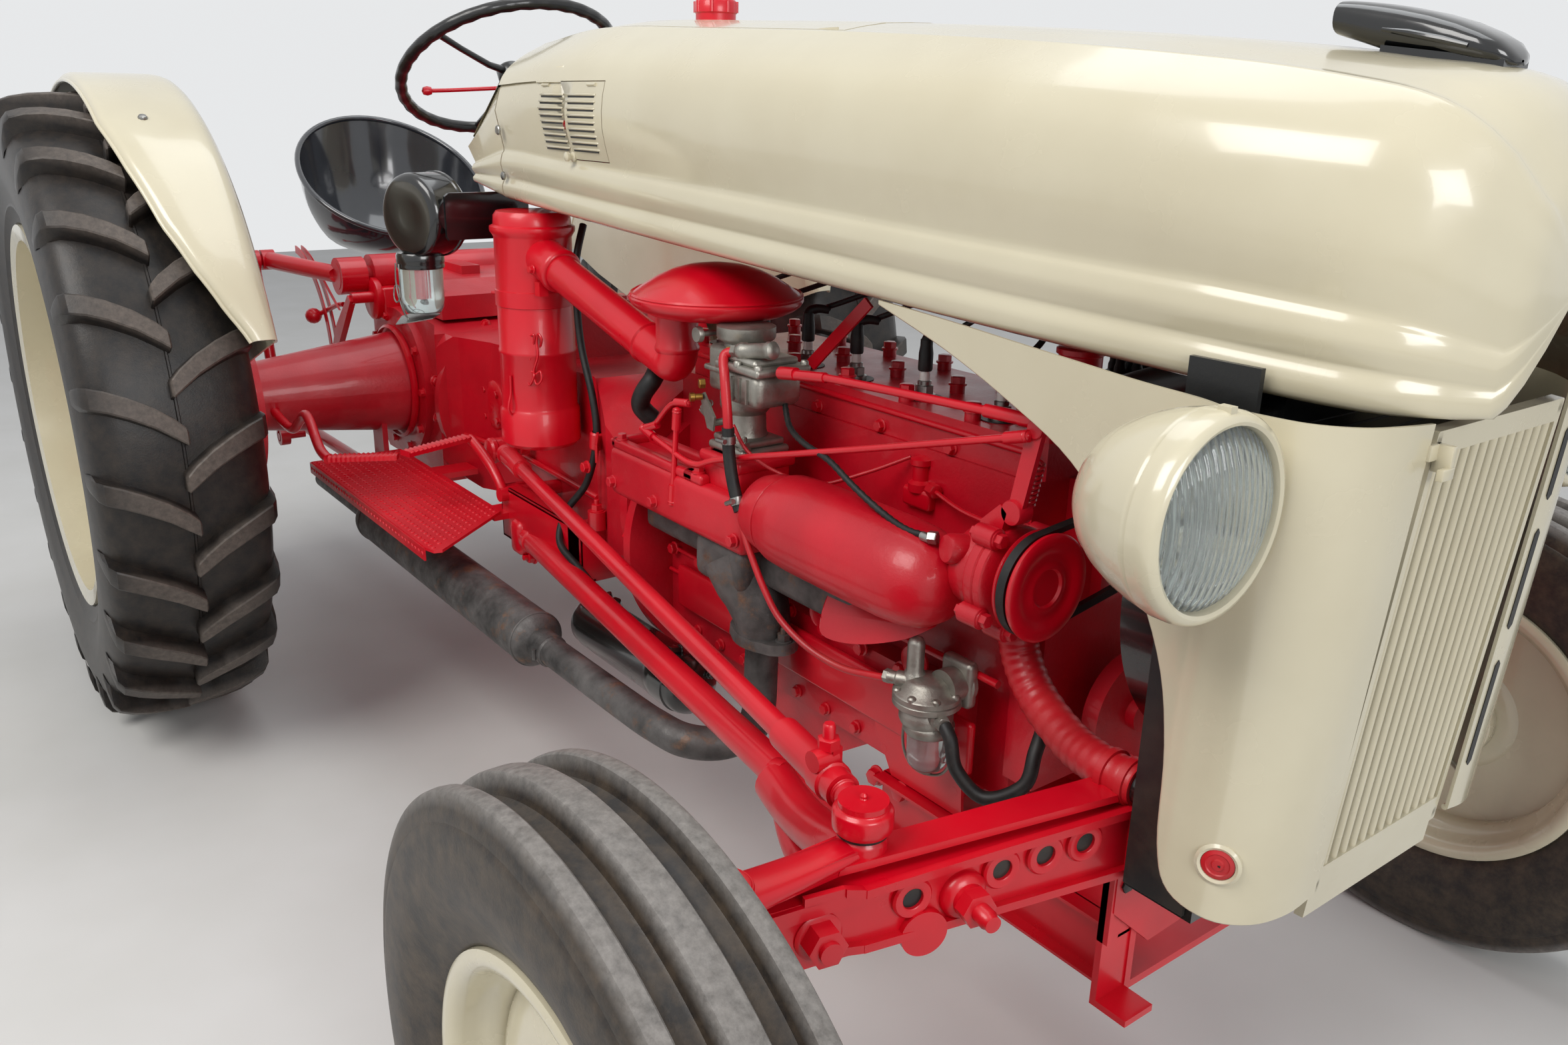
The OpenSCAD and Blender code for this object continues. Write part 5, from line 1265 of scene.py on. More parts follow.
def head_and_plugs():
    bolts = Piece("head_bolts", red, slot="engine_red")
    # Thin black discs round each plug: painted shade in the plug wells.
    well_shade = Piece("plug_well_shade", black_satin)
    for i in range(7):
        for y in (-90, 0, 90):
            if i < 6 or y < 0:
                bolts.bolt((1170 + i * 118, y, 897), UP, 17, 9)
    bolts.turned((1836, 5, 924), UP, [(42, 0), (44, 2), (44, 6), (30, 12), (26, 22), (26, 44), (29, 46), (29, 52),
        (26, 54)], 36)
    bolts.bolts([(x, 5, 926) for x in (1802, 1870)], UP, 15, 8)
    # Cast ridge along the head and a plate on its side
    bolts.tube([(1160, -106.5, 872), (1880, -106.5, 872)], 4, 10)
    bolts.bolts([(1225 + 130 * k, -106, 850) for k in range(5)], RIGHT, 13, 7)
    fit = Vector((1700, -112, 800))
    bolts.turned(fit, UP, [(16, -14), (16, -4), (11, 0), (11, 18), (14, 20), (14, 27), (8, 30), (0, 31)], 20)
    bolts.hexagon(fit + Vector((22, -4, -6)), (1, -0.3, 0), 16, 16)
    bolts.tube(spline([fit + Vector((36, -8, -6)), fit + Vector((90, -16, -14)), fit + Vector((150, -18, -16))], 5),
        3, 8)
    rounded(bolts, (1676, -122, 764), (1726, -104, 790), 5)
    plugs = Piece("spark_plugs", porcelain)
    metal_bits = Piece("plug_shells", steel)
    boots = Piece("plug_boots", hose_black, "ignition", "spark_leads", angle=45)
    xs = (1777, 1642, 1506, 1398, 1290, 1190)
    for i, x in enumerate(xs):
        well_shade.turned((x, -60, 886.6), UP, [(25, 0), (25, 1.0), (0, 1.2)], 28)
        metal_bits.turned((x, -60, 887), UP, [(15, 0), (15, 5), (12, 6)], 20)
        metal_bits.hexagon((x, -60, 892), UP, 21, 12)
        metal_bits.turned((x, -60, 904), UP, [(9, 0), (9, 5), (7, 6)], 18)
        plugs.turned((x, -60, 909), UP, [(7, 0), (6.6, 6), (7, 9), (6.4, 12), (6.8, 15), (6, 20)], 18)
        boots.turned((x, -60, 922), UP, [(8.6, 0), (9.4, 2), (9.4, 22), (8, 32), (8, 40)], 18)
        a = Vector((x, -60, 958))
        boots.tube(spline([a, a + Vector((1, 3, 7)), a + Vector((8, 12, 10)), a + Vector((16, 24, 8))], 4),
            [round(8 - 0.2 * k, 1) for k in range(13)], 14)
    cap = Vector((1840, 95, 887))
    boots.turned(cap, UP, [(26, 0), (30, 8), (34, 12), (34, 44), (32, 50), (26, 54), (12, 57), (0, 58)], 36)
    for i in range(7):
        dx, dy = polar(i * 60 + 30, 20) if i < 6 else (0, 0)
        boots.turned(cap + Vector((dx, dy, 52)), UP, [(7, 0), (7, 8), (5.6, 12), (5.6, 20)], 14)
    for i, x in enumerate(xs):
        dx, dy = polar(i * 60 + 30, 20)
        s = Vector((1840 + dx, 95 + dy, 958))
        high = 62 + 9 * i
        pts = [s, s + Vector((-6 * i, -6 * i, high - 10)), Vector(((1840 + x) / 2, 20 - 4 * i, 952 + high)),
               Vector((x + 22, -31, 974)), Vector((x + 15, -37, 967))]
        boots.tube(spline(pts, 10), 4, 12)
    boots.turned((1700, -6, 985), UP, [(6, 0), (6, 1)], 8)


def block_details():
    b = Piece("block_bolts", red, slot="engine_red")
    b.bolts([(1890, -112, z) for z in (640, 690, 740)], FORE, 15, 8)
    b.bolts([(1175 + 66 * k, -146, 436) for k in range(11)], RIGHT, 13, 6)
    b.bolts([(1180 + 78 * k, -151, 560) for k in range(9)], RIGHT, 15, 8)
    # Side cover with a pressed border, water jacket plugs and a casting rib
    rounded(b, (1200, -160, 470), (1860, -148, 540), 5)
    b.tube([(1190, -151, 604), (1890, -151, 604)], 5, 12)
    for x in (1330, 1560, 1750):
        b.turned((x, -151, 580), RIGHT, [(24, 0), (24, 3), (21, 5), (18, 3), (0, 3)], 32)
    for z in (520, 560):
        b.tube([(1165, -150, z), (1400, -150, z)], 3.4, 10)
    s = Piece("starter_body", black_gloss, "starter_generator")
    s.turned((987, -205, 380), FORE, [(0, 0), (34, 0), (42, 3), (44, 8), (44, 26), (46, 28), (46, 250), (47.5, 252),
        (47.5, 288), (46, 290), (46, 322), (43, 330), (30, 338), (14, 340), (14, 346), (0, 347)], 48)
    s.turned((1262, -205, 380), FORE, [(46, 0), (48.6, 1), (48.6, 33), (46, 34)], 48, closed=True)
    s.bolt((1279, -205, 430), (0, -1, 0.2), 13, 18)
    s.bolts([(1326, -205 + c, 380 + q) for c, q in (polar(a, 32) for a in (40, 160, 280))], FORE, 10, 6)
    s.turned((1070, -205, 426), (0, -0.3, 1), [(16, 0), (16, 14), (12, 18), (5, 20), (5, 34)], 20)
    s.turned((1300, 195, 640), FORE, [(0, -18), (9, -18), (9, 0), (54, 0), (60, 4), (62, 10), (62, 60), (60.5, 62),
        (62, 64), (62, 236), (60.5, 238), (62, 240), (62, 290), (58, 298), (30, 300), (14, 300), (14, 318), (46, 320),
        (48, 324), (38, 330), (38, 334), (48, 340), (48, 344), (14, 346), (0, 346)], 48)


for make in (engine_side, head_and_plugs, block_details):
    make()

# Front axle, kingpins and steering
def axle_face(y, z, d=0.0):
    """A point on the front face of the right-hand axle arm, d in front of it."""
    return Vector((2032 + (KINGPIN_Y + y) * 0.2126 + d * 0.978, y - d * 0.208, z))


def front_axle_details():
    p = Piece("axle_details", red)
    # Thin black discs in the axle's holes: painted shade in place of the openings.
    opening_shade = Piece("axle_hole_shade", black_satin)
    out = Vector((0.978, -0.208, 0))
    for y, z in ((-450.4, 545), (-353.8, 549.5), (-304.6, 552), (-258.1, 554)):
        q = axle_face(y, z)
        p.turned(q - out, out, [(21, 0), (21, 5), (19, 7), (12.5, 7), (11, 6), (11, 1)], 32)
        opening_shade.turned(q, out, [(11, 0), (11, 1.6), (0, 1.8)], 28)
    q = axle_face(-599, 539)
    opening_shade.turned(q, out, [(11.5, 0), (11.5, 0.8), (0, 1)], 28)
    # Flanges of the forging, along its top and its foot
    for rows in (((-560, 573, 5), (-520, 573, 7), (-500, 567, 9), (-350, 573, 9), (-202, 577, 9)),
                 ((-530, 513, 8), (-500, 508, 9), (-350, 508, 9), (-202, 508, 9))):
        for (ya, za, da), (yb, zb, db) in zip(rows, rows[1:]):
            p.slab([axle_face(ya, za - 6, -1), axle_face(yb, zb - 6, -1), axle_face(yb, zb + 3, -1),
                axle_face(ya, za + 3, -1)], out, (da + db) / 2)
    p.slab([axle_face(-600, 566, -1), axle_face(-500, 570, -1), axle_face(-500, 556, -1), axle_face(-560, 552, -1),
            axle_face(-600, 548, -1)], out, 6, 2)
    # Sliding joint of the axle: seam, long bolt with its collar, and a plain hexagon
    p.slab([axle_face(-520, 579, -44), axle_face(-215, 585, -44), axle_face(-215, 585, -4),
        axle_face(-520, 579, -10)], UP, 8, 2)
    q = axle_face(-395, 533)
    p.turned(q - out, out, [(25, 0), (25, 6), (21, 11), (17, 13), (17, 18)], 30)
    p.hexagon(q + out * 17, out, 32, 16)
    p.turned(q + out * 32, out, [(10, 0), (10, 14), (8.4, 16), (8.4, 22), (0, 23)], 18)
    q = axle_face(-544, 530)
    p.turned(q - out, out, [(24, 0), (24, 3), (21, 5)], 28)
    p.hexagon(q + out * 4, out, 34, 20)
    p.turned(q + out * 24, out, [(11, 0), (11, 5), (0, 6)], 18)
    # Seam of the kingpin's boss, and the relief beside it
    p.turned(axle_face(-609, 520, -2), out, [(14, 0), (13, 4), (0, 5)], 20)
    # Yoke of the radius rod
    yoke = spline([(1790, -398, 510), (1835, -410, 509), (1880, -424, 516), (1925, -438, 528), (1968, -448, 540),
        (2010, -452, 545)], 6)
    p.tube(yoke, 25, 22)
    fork = spline([(1820, -408, 500), (1850, -420, 480), (1885, -432, 474), (1930, -446, 492), (1990, -450, 520)], 6)
    p.tube(fork, 15, 18)
    p.turned((1778, -396, 510), (50, 13, 1), [(21, 0), (25, 3), (25.5, 14), (25, 18)], 28)
    # Ball socket of the rod under the gearbox, with its clamp bolts
    for z, y in ((500, -196), (424, -200)):
        p.bolt((756, y, z), (0, -1, 0.1), 20, 12, stud=10)
        p.rod((756, y, z), (756, y + 50, z), 9, 14)
    rounded(p, (716, -232, 428), (760, -176, 496), 14)
    rounded(p, (700, -205, 418), (735, -150.4, 506), 8)
    p.turned((760, -208, 463), (50, -8, 2), [(21, 0), (24, 2), (24, 22), (21, 24)], 28)
    p.mirrored()
    # Gusset between the engine and the tray, its bolts, and lips of the tray
    g = Piece("tray_details", red)
    g.slab([(1664, -154, 497), (1842, -154, 499), (1850, -154, 404), (1720, -154, 404)], LEFT, 5, 0.6)
    g.bolts([(x, -150.5, 388) for x in (1690, 1740)], RIGHT, 20, 10)
    g.mirrored()
    g.box((1700, -166, 318), (2108, -150, 321.5))
    g.box((1700, 150, 318), (2108, 166, 321.5))
    for s in (-1, 1):
        g.box((1702, s * 150 - (2 if s > 0 else 20), 396), (2106, s * 150 + (20 if s > 0 else 2), 400))
    # Corner plates in front of the tray
    for s in (-1, 1):
        corner = ((193, 500), (129, 487), (66, 380), (124, 376), (193, 440))
        g.slab([(2108, s * y, z) for y, z in corner], FORE, 5, 0.6)
        g.box((2098, s * 193 - 3, 400), (2112, s * 193 + 3, 500))
    # Core support and hold-down bolts of the radiator
    r = Piece("radiator_details", black_satin)
    for s in (-1, 1):
        r.box((2137, s * 216 - 3, 505), (2207, s * 216 + 3, 1040))
        r.bolt((2106, s * 175, 470), FORE, 17, 8)
    r.turned((2170, 0, 1056), UP, [(34, 0), (36, 2), (36, 8), (30, 10), (30, 13), (0, 14)], 36)
    r.tube(spline([(1900, 0, 930), (1960, 0, 955), (2050, 0, 990), (2128, 0, 1015)], 6), 24, 20)
    fins = 34
    for k in range(fins):
        z = 564 + 418 * k / (fins - 1)
        for x0, x1 in ((2139, 2139.9), (2205.1, 2206)):
            r.box((x0, -203, z), (x1, 203, z + 2))


def kingpins():
    for s, name in SIDES:
        m = Matrix.Diagonal((1, -s, 1))

        def at(*q):
            return m @ Vector(q)
        p = Piece("knuckle_" + name, red, body="spindle_" + name)
        p.turned(at(FRONT_X, -KINGPIN_Y, 566.3), UP, [(29, 1), (31, 3), (31, 30), (29, 33), (28.6, 34), (30, 35),
            (30, 40), (27, 43), (18, 43.6), (17, 43), (14, 43.2), (4, 43.4), (3.4, 46), (0, 46.4)], 40)
        # Ear with its pinch bolts
        for z, dx in ((598, -14), (578, 14)):
            a = at(FRONT_X + dx, -668, z)
            p.hexagon(a, at(FRONT_X, -640, z) - a, 19, 12)
        corners = list(zip(at(2008, -672, 570), at(2052, -640, 604)))
        rounded(p, [min(c) for c in corners], [max(c) for c in corners], 8)
        q, d = at(2046, -664, 584), at(0.75, -0.6, -0.1)
        p.turned(q, d, [(14, 0), (14, 3)], 20)
        p.hexagon(q + d.normalized() * 3, d, 24, 13)
        # Forged arm that narrows toward its ball
        rows = []
        for t in range(13):
            k = t / 12
            y = lerp(-612, -486, k)
            w, h = lerp(25, 17, k), lerp(17, 12, k) - 2 * math.sin(k * math.pi)
            rows.append([at(FRONT_X + w * math.cos(b), y, 588 + h * math.sin(b) * (1 if math.sin(b) > 0 else 0.8))
                         for b in around(22)])
        grid(p, rows)
        p.turned(at(FRONT_X, -BALL_Y, 574), UP, [(14, 0), (21, 3), (24, 8), (24, 22), (22, 25), (20, 28)], 32)
        p.turned(at(FRONT_X, -BALL_Y, 560), UP, [(9, -2), (9, 8), (13, 9), (13, 15)], 20)
        boot = Piece("ball_boot_" + name, hose_black, body="drag_link_" + name, angle=50)
        boot.turned(at(FRONT_X, -BALL_Y, 600.6), UP, [(20, 0.4), (24.5, 2), (25.5, 5), (24.5, 7), (22, 8.6)], 32,
            closed=True)
        d = Piece("drag_link_ends_" + name, red, body="drag_link_" + name)
        d.turned(at(FRONT_X, -BALL_Y, 606), UP, [(26, 0), (28.6, 3), (29, 8), (29, 20), (27.5, 22.6), (26, 23.2),
            (25, 25), (22, 26), (8, 26.6), (5, 27), (4.4, 30), (3, 32), (3.6, 34.5), (2.2, 37), (0, 37.4)], 40)
        front, rear = at(FRONT_X, -BALL_Y, 623), at(576, -175, 589)
        v = (front - rear).normalized()
        for k in range(6):
            e = front - v * (34 + 3.2 * k)
            d.turned(e, -v, [(13.2, 0), (14.4, 0.8), (14.4, 1.6), (13.2, 2.4)], 22, closed=True)
        e = front - v * 58
        d.turned(e, -v, [(17.5, 0), (20.5, 2), (20.5, 24), (18.4, 26), (18.2, 110)], 28)
        up = Vector(UP)
        lug_at = front - v * 72
        d.turned(lug_at + up * 22, at(0, 1, 0), [(11, -20), (11, 6)], 20)
        d.slab([lug_at + up * 12 - v * 10, lug_at + up * 12 + v * 10, lug_at + up * 34 + v * 10,
            lug_at + up * 34 - v * 10], at(0, 1, 0), 12, 1)
        d.hexagon(lug_at + up * 32, up, 20, 11)
        d.turned(lug_at + up * 42, up, [(6.5, 0), (6.5, 14), (5, 16)], 14)
        d.turned(rear + v * 38, v, [(17.8, 0), (20, 2), (20, 20), (18.4, 22)], 28)
        d.turned(rear - at(0, 16, 0), at(0, -1, 0), [(23, -2), (25.5, 0), (25.5, 8), (22, 12), (9, 13), (6, 15),
            (0, 15)], 32)


def wheel_details():
    for s, name in SIDES:
        # Front rim: curled flanges, drop centre, dished disc with its nuts and a grease cap
        p = Piece("front_rim_" + name, cream, "front_wheel_" + name, body="front_wheel_" + name, angle=45)
        c = Vector((FRONT_X, s * FRONT_Y, FRONT_R))
        outside = [(203, 48), (208, 50.5), (214, 51), (218.6, 48), (220.4, 52), (219.5, 57), (214, 59.5), (207, 58.5),
            (199, 54), (195, 46), (193, 36), (186, 26), (178, 20), (176, 8)]
        inside = [(199, -38), (190, -30), (183, -22), (181, -8)]
        p.turned(c, (0, s, 0), both(outside) + both(inside), 96, closed=True)
        disc = [(176.5, 10), (168, 16), (150, 24), (128, 28), (108, 27), (94, 20), (84, 8), (76, 3), (50, 2), (44, 4),
            (42, 26), (38, 34), (20, 38), (0, 39), (0, -4), (44, -4), (76, -3), (88, 2), (98, 14), (110, 20.5),
            (128, 21.5), (148, 18), (166, 10), (176.5, 4)]
        p.turned(c, (0, s, 0), disc, 72)
        n = Piece("front_nuts_" + name, cream, body="front_wheel_" + name)
        for a in around(6):
            q = c + Vector((63 * math.cos(a), s * 3, 63 * math.sin(a)))
            n.turned(q, (0, s, 0), [(14, 0), (12, 4), (11, 4)], 18)
            n.hexagon(q + Vector((0, s * 4, 0)), (0, s, 0), 21, 14)
        n.turned(c + Vector((188, s * 30, 0)), (-0.5, s, 0), [(5, -6), (5, 10), (4, 12), (4, 30), (5, 31), (5, 38),
            (0, 39)], 14)
        # Drum and hub on the inner side
        n.turned(c, (0, -s, 0), [(0, 3), (60, 3), (64, 8), (64, 30), (52, 40), (44, 46), (44, 74)], 48)
        # Rear wheel nuts
        r = Piece("rear_wheel_details_" + name, red, body="rear_wheel_" + name)
        c = Vector((0, s * REAR_Y, AXLE_Z))
        for k in range(8):
            a = 2 * math.pi * (k + 0.5) / 8
            q = c + Vector((102 * math.cos(a), s * 52, 102 * math.sin(a)))
            r.turned(q, (0, s, 0), [(17, 0), (14, 5)], 18)
            r.hexagon(q + Vector((0, s * 5, 0)), (0, s, 0), 25, 18)


for make in (front_axle_details, kingpins, wheel_details):
    make()

# Running boards, pedals, gearbox side, lift controls and intake side
def running_board():
    p = Piece("tread_plates", red, "running_boards", angle=35)
    outline = [(172, -430), (815, -430), (838, -424), (842, -410), (702, -240), (690, -236), (172, -236)]
    p.slab([(x, y, 501) for x, y in outline], UP, 5, 0.8)
    p.box((172, -433, 482), (815, -430, 505))
    p.box((172, -433, 486), (176, -236, 502))
    for i in range(41):
        for j in range(11):
            x, y = 184 + 16 * i, -419 + 17 * j
            if x > 696 + (-242 - y) * 0.78:
                continue
            p.turned((x, y, 505.6), UP, [(4.6, 0), (3.2, 2), (0, 2.6)], 6)
    for i in range(40):
        p.turned((182 + 16 * i, -432.6, 494), RIGHT, [(4, 0), (2.8, 1.8), (0, 2.2)], 6)
    p.box((330, -252, 488), (390, -150.4, 500))
    p.box((640, -252, 488), (700, -111.4, 500))
    p.mirrored()
    # Channel that carries the board and the rod's socket
    for lo, hi in (((668, -222, 446), (985, -214, 548)), ((668, -222, 540), (985, -190, 548)), ((668, -222, 446),
            (985, -190, 454)), ((668, -222, 446), (676, -150.4, 548)), ((940, -222, 446), (985, -150.4, 548))):
        rounded(p, lo, hi, 2.5)
    p.bolt((960, -222, 480), RIGHT, 17, 9)
    # Pedals, their ribbed pads and bent arms, on one cross shaft
    for a, b, arm in (((496, -484, 598), (558, -376, 600), [(496, -486, 597), (470, -486, 600), (440, -484, 604),
            (405, -480, 616), (372, -478, 640), (335, -476, 648), (285, -474, 625), (231, -474, 596),
            (150, -470, 592), (60, -466, 600), (10, -462, 606)]), ((612, -381, 618), (578, -244, 622),
            [(578, -242, 622), (588, -238, 616), (618, -234, 600), (652, -231, 580), (678, -229, 558),
            (692, -227, 538)])):
        a, b = Vector(a), Vector(b)
        d = (b - a).normalized()
        across = Vector(UP).cross(d)
        n = 15
        rows = []
        for k in range(n * 2):
            t = k / (n * 2 - 1)
            q = a.lerp(b, t)
            w = 13 if k % 2 else 14.5
            up = 5 if k % 2 else 7
            rows.append([q + across * out + Vector((0, 0, z)) for out, z in (
                (-w, -4), (-w, up - 2), (3 - w, up), (w - 3, up), (w, up - 2), (w, -4))])
        i = grid(p, rows)
        p.f += [tuple(range(i, i + 6)), tuple(reversed(range(i + 6 * (2 * n - 1), i + 12 * n)))]
        p.tube(spline(arm, 5), 9.5, 14)
    p.tube(spline([(10, -462, 606), (-20, -430, 600), (-30, -300, 590), (-30, -172, 586)], 5), 11, 14)
    p.rod((692, -236, 536), (692, -110, 532), 14, 18)


def gearbox_details():
    p = Piece("gearbox_bolts", red, slot="engine_red")
    p.bolts([(227, 172 * c, AXLE_Z + 158 * q) for c, q in (polar(15 + 30 * k) for k in range(12))], FORE, 17, 9)
    p.bolts([(1138, 214 * c, AXLE_Z + 200 * q) for c, q in (polar(12.5 + 25.7 * k) for k in range(14))],
            AFT, 17, 9)
    for s in (-1, 1):
        p.bolts([(152 * math.cos(a), s * 166.5, AXLE_Z + 152 * math.sin(a)) for a in around(10)], (0, s, 0), 15, 8)
        p.turned((0, s * 170, AXLE_Z), (0, s, 0), [(128, 0), (130, 4), (130, 10), (124, 14)], 56, closed=True)
        # Trumpet: end flange and drum backing plate with its edge
        p.turned((0, s * 512, AXLE_Z), (0, s, 0), [(70, 0), (86, 6), (90, 10), (90, 18), (160, 22), (178, 26),
            (178, 30)], 56)
        p.bolts([(80 * math.cos(a), s * 520, AXLE_Z + 80 * math.sin(a)) for a in around(6)], (0, -s, 0), 15, 8)
        # Brake rod along the trumpet, with its band
        p.tube(spline([(-228, s * 420, 560), (-190, s * 340, 580), (-151, s * 262, 601), (-60, s * 245, 618),
            (40, s * 236, 628), (58, s * 190, 630)], 6), 9, 14)
        p.turned((62, s * 160, 630), (0, s, 0), [(24, 0), (26, 4), (26, 40), (20, 44), (12, 46), (12, 52)], 28)
    # Domed cover, ribs and plugs on the gearbox side
    for s in (-1, 1):
        p.turned((420, s * 112, 640), (0, s, 0), [(52, -6), (52, 6), (48, 10), (30, 12), (0, 12)], 40)
        for k in range(4):
            a = math.pi / 4 + k * math.pi / 2
            p.bolt((420 + 40 * math.cos(a), s * 121, 640 + 40 * math.sin(a)), (0, s, 0), 12, 6)
        p.tube([(330, s * 148, 560), (520, s * 112, 556), (700, s * 116, 556), (880, s * 128, 560)], 6, 12)
        p.turned((576, s * 110, 829), (0, s, 0), [(46, -40), (46, -6), (40, 0), (34, 3)], 36)
    p.bolts([(x, y, 874) for x in (515, 655) for y in (-60, 60)], UP, 15, 8)
    p.turned((410, 0, 790), UP, [(62, 50), (66, 54), (66, 64), (60, 68), (44, 84), (26, 96), (20, 104), (14, 108),
        (0, 109)], 40)
    # Lift cover: bolts along its foot, draft control rocker with spring, dipstick and plugs
    for x in (-160, -80, 0, 80, 170):
        for s in (-1, 1):
            p.bolt((x, s * 118, 845 if abs(x) < 90 else 838), UP, 15, 8)
    for s in (-1, 1):
        rounded(p, (-120, s * 152 - 22, 752), (-40, s * 152 + 22, 828), 6)
        p.bolt((-170, s * 138, 842), UP, 16, 9)
        p.turned((-84, s * 176, 800), (0, s, 0), [(44, -6), (48, 0), (48, 10), (42, 14)], 36)
    coil(p, (-270, 0, 842), (-205, 0, 842), 17, 4.2, 6)
    p.rod((-285, 0, 842), (-200, 0, 842), 8, 14)
    # Quadrant of the lift control: two arcs, a lever and its red ball
    q = Piece("lift_quadrant", red)
    for y in (-232, -246):
        near = [arc((-470, y, 640), FORE, UP, r, 2, 84, 26) for r in (250, 232)]
        m = len(near[0])
        i = q.add([v + Vector((0, dy, 0)) for dy in (0, 3) for row in near for v in row])[0]
        for k in range(m - 1):
            q.f += [(i + k, i + k + 1, i + m + k + 1, i + m + k), (i + 2 * m + k, i + 3 * m + k, i + 3 * m + k + 1,
                i + 2 * m + k + 1), (i + k, i + 2 * m + k, i + 2 * m + k + 1, i + k + 1), (i + m + k, i + m + k + 1,
                i + 3 * m + k + 1, i + 3 * m + k)]
        q.f += [(i, i + m, i + 3 * m, i + 2 * m), (i + m - 1, i + 3 * m - 1, i + 4 * m - 1, i + 2 * m - 1)]
    q.slab([(-236, -244, 652), (-214, -244, 652), (-168, -244, 690), (-60, -244, 800), (-76, -244, 812),
        (-190, -244, 720)], LEFT, 14, 1)
    q.rod((-68, -238, 806), (-68, -150.4, 806), 13, 16)
    q.slab([(-176, -240, 772), (-160, -240, 766), (-330, -240, 862), (-340, -240, 858)], LEFT, 5)
    q.turned((-291, -262, 737), (0.1, 0.4, 0.1), [(0, -19), (8, -18), (15, -12), (18.6, -4), (18.6, 4), (15, 12),
        (8, 18), (0, 19)], 24)
    q.tube(spline([(-288, -250, 740), (-262, -238, 752), (-200, -232, 772), (-168, -226, 778)], 5), 6, 12)


def intake_side():
    # Black drum of the pre-cleaner, its bracket and the glass jar's lid
    d = Piece("pre_cleaner_drum", black_gloss, "pre_cleaner", angle=38)
    axis = Vector((0.342, -0.94, 0))
    c = Vector((610, -300, 1046))
    d.turned(c, axis, [(0, -31), (60, -31), (68, -28), (72, -22), (74, -20), (74, -14), (72, -12), (72, 38), (70, 45),
        (64, 49.5), (56, 50.6), (24, 47), (8, 46), (0, 46)], 64)
    d.turned((600, -285, 1050), FORE, [(32, 0), (32, 92)], 32)
    d.slab([(690, -150, 1008), (690, -302, 1008), (690, -306, 1014), (690, -306, 1082), (690, -298, 1088),
        (690, -150, 1088)], FORE, 6, 0.8)
    for z in (1022, 1076):
        d.turned((689.5, -288, z), AFT, [(7, 0), (7, 2), (0, 3)], 16)
    d.turned((600, -320, 0), UP, [(34, 952), (41, 953), (42, 957), (41, 960), (42, 963), (42, 976), (40, 980),
        (0, 984)], 48)
    w = Piece("jar_bail", steel)
    for s in (-1, 1):
        w.tube(spline([(600 + 8 * s, -320 - 43, 962), (600 + 10 * s, -364, 930), (600 + 6 * s, -362, 900),
            (600, -352, 866), (600, -330, 862)], 6), 1.5, 8)
    w.tube(arc((590, -364, 908), FORE, (0, 0.1, 1), 15, 0, 360, 28), 1.4, 8)
    w.slab([(566, -350, 864), (600, -374, 856), (634, -350, 864), (640, -320, 868), (600, -290, 868),
        (560, -320, 868)], (0, 0, -1), 1.6)
    # Collar on the intake tube, and the wire clip that holds the drum's cup
    k = Piece("intake_collar", red)
    t = Vector((415, 8, -117)).normalized()
    k.turned(Vector((846, -199.7, 990.5)), t, [(30, 0), (34, 2), (35, 4), (35, 58), (37, 60), (37, 66), (34, 70),
        (30, 71)], 40)
    k.bolt((880, -236, 975), (0.1, -1, 0.1), 11, 6)
    k.slab([(872, -214, 930), (886, -212, 930), (886, -212, 955), (872, -214, 955)], RIGHT, 16, 1)
    scroll = [(868, -222, 845), (878, -224, 858), (870, -226, 866), (862, -226, 852), (868, -228, 828),
        (858, -232, 800), (866, -232, 780), (878, -228, 788), (872, -226, 802), (862, -230, 796)]
    k.tube(spline(scroll, 6), 2, 8)
    k.tube(spline([(x - 16, y - 6, z + (4 if i % 2 else -4)) for i, (x, y, z) in enumerate(scroll)], 6), 2, 8)
    # Loom that drops down the engine's rear corner, with its clip
    m = Piece("wiring_loom", hose_black, angle=60)
    m.tube(spline([(842, -120, 1040), (868, -150, 980), (886, -160, 909), (902, -162, 840), (940, -164, 760),
        (952, -166, 691), (930, -176, 610), (904, -204, 556), (930, -232, 512), (1000, -236, 490), (1070, -236, 470),
        (1140, -232, 456)], 7), 6.4, 14)
    m.tube(spline([(1150, -160, 850), (1162, -178, 835), (1150, -188, 812), (1140, -186, 790), (1146, -170, 770)], 7),
        15, 16)
    k.turned((953, -166, 690), (0.15, 0, 1), [(9, -16), (12, -13), (12, 13), (9, 16)], 24, closed=True)
    k.slab([(958, -164, 676), (1010, -196, 668), (1010, -196, 700), (958, -164, 706)], (-0.5, -1, 0), 4, 0.6)
    k.bolt((1008, -214, 664), RIGHT, 15, 8)
    k.turned((991, -190, 568), UP, [(16, -22), (16, 10)], 20)
    k.bolt((991, -190, 578), UP, 17, 10, stud=8)


for make in (running_board, gearbox_details, intake_side):
    make()

for p in Piece.made:
    p.build()

# Camera, at the photograph's own place and angle; its focal length is in the photo's pixels
FOCAL, PHOTO_WIDTH, SENSOR = 1832.2487, 2353, 36.0
AZ, PITCH, ROLL = math.radians(37.16016), math.radians(18.72531), math.radians(1.18806)
flat = Vector((-math.cos(AZ), math.sin(AZ), 0))
side = Vector((math.sin(AZ), math.cos(AZ), 0))
ahead = math.cos(PITCH) * flat - math.sin(PITCH) * Vector(UP)
above = math.sin(PITCH) * flat + math.cos(PITCH) * Vector(UP)
right = math.cos(ROLL) * side + math.sin(ROLL) * above
upward = -math.sin(ROLL) * side + math.cos(ROLL) * above
cam_data = bpy.data.cameras.new("photo_camera")
cam_data.sensor_width = SENSOR
cam_data.lens = FOCAL / PHOTO_WIDTH * SENSOR
cam_data.clip_end = 60
cam = bpy.data.objects.new("photo_camera", cam_data)
